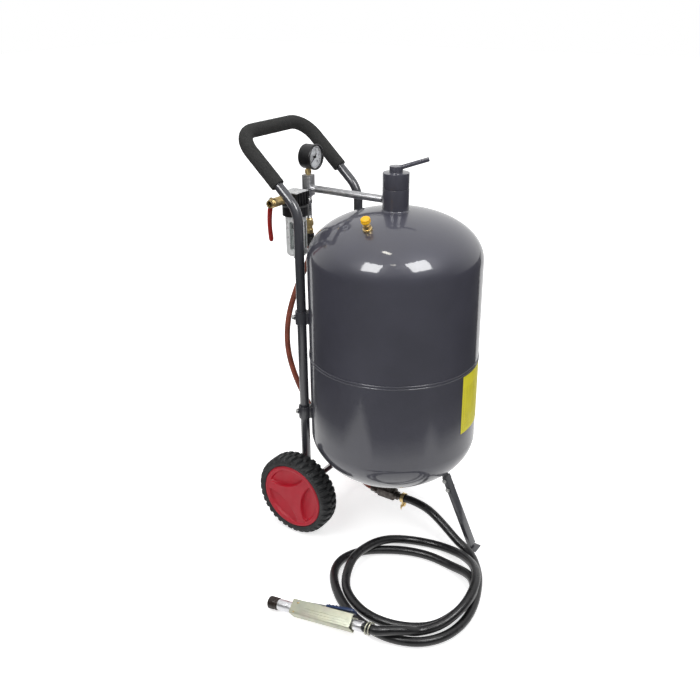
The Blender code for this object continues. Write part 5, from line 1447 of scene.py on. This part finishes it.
def flat_section(widths, thick):
    """Rounded-bar sections whose width follows the given (share, half width) stations."""

    def section(share):
        half = widths[-1][1]
        for (s0, w0), (s1, w1) in zip(widths, widths[1:]):
            if share <= s1:
                half = w0 + (w1 - w0) * (share - s0) / max(s1 - s0, 1e-6)
                break
        points = []
        for step in range(28):
            angle = 2.0 * math.pi * step / 28.0
            c, s = math.cos(angle), math.sin(angle)
            points.append(
                (
                    math.copysign(abs(c) ** 0.55, c) * half,
                    math.copysign(abs(s) ** 0.55, s) * min(thick, half),
                )
            )
        return points

    return section


def ribbon(bm, path, across, section):
    """Sweeps a section along a path in one plane, with its X held along the given direction."""
    points = [Vector(point) for point in path]
    rings = []
    for index, here in enumerate(points):
        along = (points[min(index + 1, len(points) - 1)] - points[max(index - 1, 0)]).normalized()
        side = (across - along * across.dot(along)).normalized()
        other = along.cross(side)
        share = index / (len(points) - 1)
        rings.append([bm.verts.new(here + side * x + other * y) for x, y in section(share)])
    return skin(bm, rings)


def inlet_lever():
    """The steel lever with its vinyl sleeve. It hangs down while the valve is shut."""
    y = AIR_Y + 0.0175
    steel = bmesh.new()
    count = 40
    reach = SIDE_Z - low("inlet_valve_lever").z

    def spine(share):
        drop = reach * share
        bow = 0.006 * math.sin(math.pi * share) + 0.004 * share
        return Vector((VALVE_X - bow, y, SIDE_Z - drop))

    sleeve_path = [spine(0.16 + 0.835 * step / count) for step in range(count + 1)]
    widths = [
        (0.0, 0.006), (0.03, 0.0078), (0.35, 0.007), (0.65, 0.0066),
        (0.9, 0.007), (0.97, 0.0058), (1.0, 0.0024),
    ]
    ribbon(steel, sleeve_path, Vector((1.0, 0.0, 0.0)), flat_section(widths, 0.0024))
    stand_in("inlet_valve_lever", steel, "red_sleeve", 60.0)
    arm = bmesh.new()
    disc = aim((VALVE_X, y - 0.0012, SIDE_Z), BACKWARD)
    lathe(arm, band(0.0, 0.0078, 0.0024, 0.0), disc, 48, 0.0005)
    arm_path = [spine(0.3 * step / 10.0) for step in range(11)]
    ribbon(arm, arm_path, Vector((1.0, 0.0, 0.0)), flat_section([(0.0, 0.007), (1.0, 0.0046)], 0.0012))
    stem = aim((VALVE_X, AIR_Y + 0.0076, SIDE_Z), BACKWARD)
    lathe(arm, band(0.0, 0.0028, 0.0154, 0.0), stem, 32, 0.0004)
    nut = aim((VALVE_X, AIR_Y + 0.0188, SIDE_Z), BACKWARD)
    prism(arm, polygon(6, 0.0052), 0.0, 0.0034, 0.0004, nut)
    piece("inlet_lever_arm", arm, "zinc", "inlet_lever")


def drop_line():
    """Threaded nipple, brass fitting and crimped ferrule that lead down to the air hose."""
    centre = Matrix.Translation((0.0, AIR_Y, 0.0))
    nipple = bmesh.new()
    foot = BLOCK_FOOT - 0.055
    profile = [
        (0.0042, BLOCK_FOOT + 0.004), (0.0042, BLOCK_FOOT - 0.0003),
        *threads(0.0074, 0.0008, BLOCK_FOOT - 0.0006, BLOCK_FOOT - 0.011, 0.0015),
        (0.0082, BLOCK_FOOT - 0.0112), (0.0082, BLOCK_FOOT - 0.018), (0.0064, BLOCK_FOOT - 0.019),
        (0.0064, foot + 0.009), *threads(0.0064, 0.0006, foot + 0.0085, foot + 0.0005, 0.0013),
        (0.0058, foot), (0.0035, foot), (0.0025, BLOCK_FOOT - 0.02), (0.0025, BLOCK_FOOT + 0.004),
    ]
    lathe(nipple, profile, centre, 48, 0.0002, rounds=2)
    stand_in("drop_nipple", nipple, "steel")
    top = foot - 0.0003
    fitting = bmesh.new()
    profile = [
        (0.0075, top), (0.0088, top - 0.0035), (0.0082, top - 0.006), (0.0082, top - 0.017),
        (0.007, top - 0.019), (0.007, top - 0.025), (0.0086, top - 0.0256), (0.0086, top - 0.036),
        (0.0032, top - 0.036), (0.0032, top),
    ]
    lathe(fitting, profile, centre, 48, 0.0004)
    prism(fitting, polygon(6, 0.0098), top - 0.0165, top - 0.0068, 0.0005, centre)
    stand_in("drop_fitting", fitting, "brass")
    low_end = low("hose_ferrule").z
    high_end = high("hose_ferrule").z
    crimps = []
    for step in range(5):
        z = high_end - 0.0065 - 0.0038 * step
        crimps += [(0.0105, z), (0.0099, z - 0.001), (0.0099, z - 0.0018), (0.0105, z - 0.0028)]
    profile = [
        (0.0098, high_end), (0.0105, high_end - 0.002), *crimps, (0.0105, low_end + 0.001), (0.01, low_end),
        (0.0079, low_end), (0.0079, high_end - 0.004), (0.0034, high_end - 0.003), (0.0034, high_end),
    ]
    stand_in("hose_ferrule", lathe(bmesh.new(), profile, centre, 64, 0.0003), "black_plastic")
    hose_from_frame("air_hose", "air_hose", 0.00002, 0.00034)


# Mixing valve and blast hose -------------------------------------------------------------------------


def mixing():
    """Cast tee under the tank, a hexagon union on its riser, and the clamped blast hose."""
    bm = bmesh.new()
    block(bm, (-0.013, MIX_FRONT, MIX_Z - 0.012), (0.013, MIX_BACK - 0.01, MIX_Z + 0.012), 0.003)
    riser = aim((0.0, 0.0, MIX_Z), UP)
    profile = [
        (0.008, 0.082), (0.0118, 0.082), (0.0118, 0.046), (0.0128, 0.0455), (0.0128, 0.044),
        (0.0118, 0.0435), (0.0118, 0.024), *threads(0.0122, 0.0009, 0.0235, 0.012, 0.0018), (0.0118, 0.008),
        (0.008, 0.008),
    ]
    lathe(bm, profile, riser, 56, 0.0003)
    prism(bm, polygon(6, 0.0178, math.radians(30.0)), 0.031, 0.0445, 0.0009, riser)
    back_start = 0.03
    back = aim((0.0, back_start, MIX_Z), BACKWARD)
    lathe(bm, band(0.0082, 0.011, MIX_BACK + 0.012 - back_start, 0.0), back, 48, 0.0006)
    prism(bm, polygon(6, 0.0135), 0.009, 0.017, 0.0006, back)
    front = aim((0.0, MIX_FRONT + 0.003, MIX_Z), FORWARD)
    barbs = []
    for step in range(4):
        z = 0.012 + 0.008 * step
        barbs += [(0.008, z), (0.0072, z + 0.0062)]
    profile = [(0.0058, 0.043), (0.0072, 0.043), *reversed(barbs)]
    profile += [(0.011, 0.011), (0.011, 0.0), (0.0058, 0.0)]
    lathe(bm, profile, front, 48, 0.0003)
    stand_in("mixing_valve", bm, "cast_valve")
    band_clamp()
    hose_from_frame("blast_hose", "blast_hose", 0.00002, 0.0005)


def band_clamp():
    """Slotted band with its ears, and a thumbscrew underneath."""
    bm = bmesh.new()
    y = MIX_FRONT - 0.023
    half = 0.0045
    place = aim((0.0, y, MIX_Z), BACKWARD)
    inner = BLAST_R + 0.0005
    outer = BLAST_R + 0.0019
    lip = 0.0008
    profile = [(outer, half), (outer, -half), (inner, -half), (inner, half)]
    lathe(bm, profile, place, 72, 0.0004)
    for edge in (-half, half - lip):
        rim = [(outer + 0.0005, edge + lip), (outer + 0.0005, edge), (inner, edge), (inner, edge + lip)]
        lathe(bm, rim, place, 72, 0.0002)
    for x in (-0.003, 0.0014):
        block(bm, (x, y - half, MIX_Z - 0.025), (x + 0.0016, y + half, MIX_Z - 0.0115), 0.0005)
    screw = aim((-0.011, y, MIX_Z - 0.021), RIGHTWARD)
    thread = threads(0.0026, 0.0005, 0.0218, 0.006, 0.001)
    profile = [(0.0, 0.022), *thread, (0.0026, 0.005), (0.0026, 0.0), (0.0, 0.0)]
    lathe(bm, profile, screw, 24, 0.0)
    nut = aim((0.004, y, MIX_Z - 0.021), RIGHTWARD)
    prism(bm, polygon(6, 0.0046), 0.0, 0.003, 0.0003, nut)
    for lean in (-1.0, 1.0):
        spread = [(0.0, 0.0), (0.0016, lean * 0.0022), (0.0006, lean * 0.0052), (-0.001, lean * 0.0068)]
        path = [Vector((-0.0118 - x, y, MIX_Z - 0.021 + z)) for x, z in spread]
        sweep(bm, path, lambda share: polygon(14, 0.0016))
    stand_in("outlet_clamp", bm, "brass")


# Gun -------------------------------------------------------------------------------------------------


def gun_frame():
    """Local axes of the gun: Y runs forward along it and Z is its lever side."""
    place = Matrix.Translation(GUN_REAR)
    swing = Matrix.Rotation(GUN_AZIMUTH, 4, "Z")
    tilt = Matrix.Rotation(GUN_DIP, 4, "X")
    roll = Matrix.Rotation(GUN_ROLL, 4, "Y")
    return place @ swing @ tilt @ roll


def gun_housing(place):
    """A folded channel with rounded bends, pressed ribs along its sides and riveted pins."""
    h = GUN_HALF
    wall = 0.0022
    floor, rim = -0.015, 0.017
    bend = 0.003
    outline = []
    for cx, cz, start in ((-h + bend, floor + bend, 180.0), (h - bend, floor + bend, 270.0)):
        for step in range(7):
            angle = math.radians(start + 15.0 * step)
            outline.append((cx + bend * math.cos(angle), cz + bend * math.sin(angle)))
    outline = [(-h, rim)] + outline + [(h, rim), (h - wall, rim)]
    outline += [(h - wall, floor + wall), (-h + wall, floor + wall), (-h + wall, rim)]
    bm = bmesh.new()
    prism(bm, outline, 0.0, GUN_LENGTH, 0.0006, place @ ALONG_Y, 2, 45.0)
    lug_foot = GUN_LENGTH - 0.006
    block(bm, (-h + wall, lug_foot, floor + wall), (-0.0122, GUN_LENGTH, 0.006), 0.0004, place)
    block(bm, (0.0122, lug_foot, floor + wall), (h - wall, GUN_LENGTH, 0.006), 0.0004, place)
    for side in (-1.0, 1.0):
        for z in (-0.0085, -0.003, 0.0025):
            path = [place @ Vector((side * h, y, z)) for y in (0.008, 0.0085, 0.06, 0.115, 0.1155)]
            tube(bm, path, 0.00055, 10, 0.0003)
    for y, x in ((0.03, -0.006), (0.118, 0.006)):
        spot = place @ aim((x, y, floor), (0.0, 0.0, -1.0))
        lathe(bm, [(0.0, 0.0008), (0.0018, 0.0008), (0.0024, 0.0), (0.0, 0.0)], spot, 24, 0.0003)
    stand_in("gun_body", bm, "passivated")
    rivets(place)


def rivets(place):
    bm = bmesh.new()
    for side in (-1.0, 1.0):
        for y, z, size in ((PIVOT_Y, PIVOT_Z - 0.002, 0.003), (GUN_LENGTH - 0.011, -0.011, 0.002)):
            spot = place @ aim((side * GUN_HALF, y, z), (side, 0.0, 0.0))
            profile = [(0.0, 0.0014), (size * 0.55, 0.0012), (size * 0.9, 0.0006), (size, 0.0), (0.0, 0.0)]
            lathe(bm, profile, spot, 28, 0.0002)
    piece("gun_rivets", bm, "brass", ROOT)


def gun_lever(place):
    pivot = Matrix.Translation((0.0, PIVOT_Y, PIVOT_Z))
    lift = place @ pivot @ Matrix.Rotation(-LEVER_LIFT, 4, "X") @ pivot.inverted()
    lever = bmesh.new()
    block(lever, (-0.0105, 0.006, 0.015), (0.0105, 0.141, 0.0175), 0.0006, lift)
    block(lever, (-0.0105, 0.128, 0.01), (0.0105, 0.142, 0.0175), 0.0008, lift)
    pin = lift @ aim((-0.0172, PIVOT_Y, PIVOT_Z), RIGHTWARD)
    lathe(lever, band(0.0, 0.0025, 0.0344, 0.0), pin, 28, 0.0005)
    stand_in("gun_lever", lever, "zinc")
    grip = bmesh.new()
    outline = [
        (-0.012, 0.0136), (0.012, 0.0136), (0.012, 0.0184),
        (0.009, 0.0203), (-0.009, 0.0203), (-0.012, 0.0184),
    ]
    prism(grip, outline, 0.004, 0.07, 0.0012, lift @ ALONG_Y)
    for step in range(7):
        y = 0.011 + 0.0085 * step
        block(grip, (-0.01, y, 0.0198), (0.01, y + 0.003, 0.0211), 0.0005, lift)
    stand_in("gun_grip", grip, "blue_sleeve")


def gun_tube(place):
    """Barrel with its hose tail and nozzle socket, and the stepped ceramic nozzle."""
    nose = GUN_LENGTH + 0.037
    tail = -0.052
    tail_end = -0.025
    barbs = []
    for step in range(3):
        y = tail + 0.002 + 0.0075 * step
        barbs += [(0.0073, y), (0.008, y + 0.0058)]
    profile = [
        (0.0058, tail), (0.0072, tail), *barbs, (0.008, tail_end + 0.0005), (0.0112, tail_end + 0.0025),
        (0.0112, -0.0025), (0.0092, -0.002), (0.0092, GUN_LENGTH - 0.0057),
        (0.0118, GUN_LENGTH - 0.0054), (0.0118, GUN_LENGTH + 0.002), (0.0124, GUN_LENGTH + 0.003),
        (0.0124, GUN_LENGTH + 0.01), (0.0117, GUN_LENGTH + 0.0106), (0.0117, GUN_LENGTH + 0.0128),
        (0.0124, GUN_LENGTH + 0.0134), (0.0124, nose), (0.0058, nose),
    ]
    line = place @ aim((0.0, 0.0, 0.0), BACKWARD)
    barrel = lathe(bmesh.new(), profile, line, 64, 0.0004)
    stand_in("gun_barrel", barrel, "aluminium")
    base = nose + 0.0003

    def facets(r, z, angle):
        grip = r > 0.0132 and base + 0.0085 < z < base + 0.0225
        return (r * (0.955 + 0.045 * abs(math.cos(angle * 4.0))), z) if grip else (r, z)

    profile = [
        (0.004, base + 0.025), (0.0118, base + 0.025), (0.0138, base + 0.0232), (0.014, base + 0.02),
        (0.014, base + 0.011), (0.0134, base + 0.0088), (0.0126, base + 0.008), (0.0126, base + 0.0062),
        (0.0138, base + 0.0054), (0.0138, base + 0.002), (0.0128, base), (0.005, base),
    ]
    nozzle = lathe(bmesh.new(), profile, line, 72, 0.0005, facets)
    stand_in("gun_nozzle", nozzle, "nozzle", 45.0)


def gun_wire_clamp(place):
    """Two turns of wire, both ends standing proud."""
    radius = BLAST_R + 0.0019
    count = 112
    points = []
    for step in range(count + 1):
        angle = 4.0 * math.pi * step / count
        y = -0.0455 + 0.014 * step / count
        points.append(Vector((radius * math.cos(angle), y, radius * math.sin(angle))))
    start = [points[0] + Vector((0.0035, -0.002, -0.008)), points[0] + Vector((0.0012, -0.0007, -0.0034))]
    end = [points[-1] + Vector((0.0012, 0.0008, 0.0042)), points[-1] + Vector((0.0035, 0.002, 0.011))]
    path = [place @ point for point in start + points + end]
    stand_in("gun_clamp", tube(bmesh.new(), path, 0.0015, 16, 0.0003), "passivated", 60.0)


def gun():
    place = gun_frame()
    gun_housing(place)
    gun_lever(place)
    gun_tube(place)
    gun_wire_clamp(place)


# Studio ----------------------------------------------------------------------------------------------

CAMERA_SPOT = Vector((-1.5467, -0.9074, 1.2848))
CAMERA_AIM = Vector((0.0, 0.1247, 0.4484))
CAMERA_ROLL = math.radians(-0.543)
CAMERA_LENS = 42.47
CAMERA_WAY = (CAMERA_AIM - CAMERA_SPOT).to_2d().normalized()

SKY = 0.42
ROOM_DARK = 0.09
ROOM_BRIGHT = 0.85
FLOOR_HALF = 14.0
FLOOR_DROP = 0.0006
FLOOR_GLOW = 0.9
FLOOR_LIFT = 0.62
PAPER_EDGE = 0.65
PAPER_TONGUES = ((-0.68, 0.24, 0.26), (0.69, 0.15, 0.11))


def camera():
    data = bpy.data.cameras.new("camera")
    data.lens = CAMERA_LENS
    data.sensor_width = 36.0
    look = (CAMERA_AIM - CAMERA_SPOT).to_track_quat("-Z", "Y").to_matrix().to_4x4()
    place = Matrix.Translation(AXIS + CAMERA_SPOT) @ look @ Matrix.Rotation(CAMERA_ROLL, 4, "Z")
    bpy.context.scene.camera = show("camera", data, place)


def stage_plate(name, size, place, colour, strength):
    """A glowing panel that only reflections see, like a softbox in a studio."""
    bm = bmesh.new()
    half_x, half_y = size[0] / 2.0, size[1] / 2.0
    corners = [(-half_x, -half_y), (half_x, -half_y), (half_x, half_y), (-half_x, half_y)]
    bm.faces.new([bm.verts.new((x, y, 0.0)) for x, y in corners])
    mesh = bpy.data.meshes.new(name)
    bm.to_mesh(mesh)
    bm.free()
    glow = bpy.data.materials.new(name)
    glow.use_nodes = True
    tree = glow.node_tree
    tree.nodes.clear()
    emission = tree.nodes.new("ShaderNodeEmission")
    emission.inputs["Color"].default_value = (*colour, 1.0)
    emission.inputs["Strength"].default_value = strength
    output = tree.nodes.new("ShaderNodeOutputMaterial")
    tree.links.new(emission.outputs[0], output.inputs["Surface"])
    mesh.materials.append(glow)
    obj = show(name, mesh, place)
    obj.visible_camera = False
    obj.visible_diffuse = False
    obj.visible_shadow = False
    obj.visible_transmission = False


def facing(azimuth, elevation, distance, target):
    """A frame at that direction from target whose Z looks back at it."""
    away = heading(math.radians(azimuth), math.radians(elevation))
    turn = away.to_track_quat("Z", "Y").to_matrix().to_4x4()
    return Matrix.Translation(AXIS + target + away * distance) @ turn


def lamp(name, azimuth, elevation, distance, size, power):
    data = bpy.data.lights.new(name, "AREA")
    data.shape = "RECTANGLE"
    data.size, data.size_y = size
    data.energy = power
    obj = show(name, data, facing(azimuth, elevation, distance, Vector((0.0, 0.0, 0.5))))
    obj.visible_glossy = False


def ray_mix(tree, output, seen, glossy, diffuse):
    """Chooses a colour and strength by what kind of ray arrives: camera, reflection or soft light."""
    rays = tree.nodes.new("ShaderNodeLightPath")
    first = tree.nodes.new("ShaderNodeMixShader")
    second = tree.nodes.new("ShaderNodeMixShader")
    tree.links.new(rays.outputs["Is Glossy Ray"], first.inputs[0])
    tree.links.new(diffuse, first.inputs[1])
    tree.links.new(glossy, first.inputs[2])
    tree.links.new(rays.outputs["Is Camera Ray"], second.inputs[0])
    tree.links.new(first.outputs[0], second.inputs[1])
    tree.links.new(seen, second.inputs[2])
    tree.links.new(second.outputs[0], output)


def background(tree, strength):
    made = tree.nodes.new("ShaderNodeBackground")
    made.inputs["Color"].default_value = (1.0, 1.0, 1.0, 1.0)
    if isinstance(strength, bpy.types.NodeSocket):
        tree.links.new(strength, made.inputs["Strength"])
    else:
        made.inputs["Strength"].default_value = strength
    return made.outputs[0]


def world():
    """White all round for the camera and soft light; reflections see a darker room in front."""
    made = bpy.data.worlds.new("studio")
    made.use_nodes = True
    tree = made.node_tree
    output = tree.nodes["World Output"].inputs["Surface"]
    coords = tree.nodes.new("ShaderNodeTexCoord")
    toward = tree.nodes.new("ShaderNodeVectorMath")
    toward.operation = "DOT_PRODUCT"
    tree.links.new(coords.outputs["Generated"], toward.inputs[0])
    toward.inputs[1].default_value = (CAMERA_WAY.x, CAMERA_WAY.y, 0.55)
    room = tree.nodes.new("ShaderNodeMapRange")
    room.interpolation_type = "SMOOTHSTEP"
    tree.links.new(toward.outputs["Value"], room.inputs["Value"])
    for index, number in enumerate((-0.55, 0.95, ROOM_DARK, ROOM_BRIGHT)):
        room.inputs[index + 1].default_value = number
    ray_mix(tree, output, background(tree, 1.0), background(tree, room.outputs[0]), background(tree, SKY))
    bpy.context.scene.world = made


def paper_light(look):
    """What reflections see of the floor: lit paper round the object, ending in a ragged edge, open behind."""
    maths = look.maths
    parts = look.node("ShaderNodeSeparateXYZ", Vector=look.place)
    forward = CAMERA_WAY
    x, y = parts.outputs[0], parts.outputs[1]
    radius = maths("SQRT", maths("ADD", maths("MULTIPLY", x, x), maths("MULTIPLY", y, y)))
    ahead = maths("ADD", maths("MULTIPLY", x, -forward.x), maths("MULTIPLY", y, -forward.y))
    across = maths("ADD", maths("MULTIPLY", x, forward.y), maths("MULTIPLY", y, -forward.x))
    front, side = maths("DIVIDE", ahead, radius), maths("DIVIDE", across, radius)
    edge = maths("ADD", PAPER_EDGE, maths("MULTIPLY", look.noise(2.0, 1.0), 0.06))
    for centre, width, length in PAPER_TONGUES:
        off = maths("ABSOLUTE", maths("SUBTRACT", side, centre))
        tongue = maths("MULTIPLY", look.span(off, 0.0, width, length, 0.0), look.span(front, 0.0, 0.3))
        edge = maths("ADD", edge, tongue)
    edge = maths("ADD", edge, look.span(front, -0.66, -0.9, 0.0, 20.0))
    dark = look.span(front, 0.1, 0.8, 0.45 * ROOM_DARK, 1.3 * ROOM_DARK)
    lit = look.span(maths("SUBTRACT", radius, edge), -0.03, 0.12, 1.0, 0.0)
    return radius, maths("ADD", maths("MULTIPLY", lit, FLOOR_GLOW), dark)


def floor():
    """A plain pale floor, lit white for the camera. Reflections see the lit paper end in front."""
    bm = bmesh.new()
    bmesh.ops.create_grid(bm, x_segments=1, y_segments=1, size=FLOOR_HALF)
    bmesh.ops.translate(bm, vec=(0.0, 0.0, -FLOOR_DROP), verts=bm.verts)
    mesh = bpy.data.meshes.new("floor")
    bm.to_mesh(mesh)
    bm.free()
    look = Look("floor_paper", (0.94, 0.94, 0.94), 0.85)
    look.vary_colour(look.noise(3.0, 3.0), (0.93, 0.93, 0.93), (0.95, 0.95, 0.95))
    tree = look.tree
    radius, light = paper_light(look)
    glow = tree.nodes.new("ShaderNodeEmission")
    tree.links.new(light, glow.inputs["Strength"])
    lift = tree.nodes.new("ShaderNodeEmission")
    tree.links.new(look.span(radius, 0.8, 2.0, FLOOR_LIFT, 1.0), lift.inputs["Strength"])
    seen = tree.nodes.new("ShaderNodeAddShader")
    plain = look.shader.outputs["BSDF"]
    tree.links.new(plain, seen.inputs[0])
    tree.links.new(lift.outputs[0], seen.inputs[1])
    output = tree.nodes["Material Output"].inputs["Surface"]
    ray_mix(tree, output, seen.outputs[0], glow.outputs[0], plain)
    mesh.materials.append(look.material)
    show("floor", mesh, Matrix.Translation(AXIS))


def studio():
    camera()
    world()
    floor()
    shoulder = Vector((-0.16, -0.08, 0.745))
    white, warm = (1.0, 1.0, 1.0), (1.0, 0.97, 0.86)
    stage_plate("softbox_left", (0.68, 0.72), facing(173.8, 39.4, 1.7, shoulder), white, 11.0)
    stage_plate("softbox_right", (0.76, 0.8), facing(-108.0, 43.7, 1.7, shoulder), white, 11.0)
    stage_plate("lamp_top", (0.3, 0.12), facing(161.0, 80.8, 1.9, shoulder), warm, 14.0)
    stage_plate("lamp_middle", (0.22, 0.1), facing(-152.8, 54.2, 1.9, shoulder), warm, 6.0)
    lamp("key_left", 175.0, 40.0, 2.2, (1.1, 1.1), 12.0)
    lamp("key_right", -105.0, 44.0, 2.2, (1.1, 1.1), 12.0)
    lamp("overhead", 30.0, 82.0, 2.4, (1.8, 1.8), 30.0)
    bpy.context.scene.view_settings.view_transform = "Standard"


# Assembly --------------------------------------------------------------------------------------------


def build():
    upper_shell()
    lower_shell()
    seam()
    filler()
    safety_valve()
    label()
    handle()
    clamps()
    braces()
    axle()
    wheels()
    leg()
    manifold()
    feed_pipe()
    gauge()
    separator()
    inlet_valve()
    drop_line()
    mixing()
    gun()
    studio()


build()
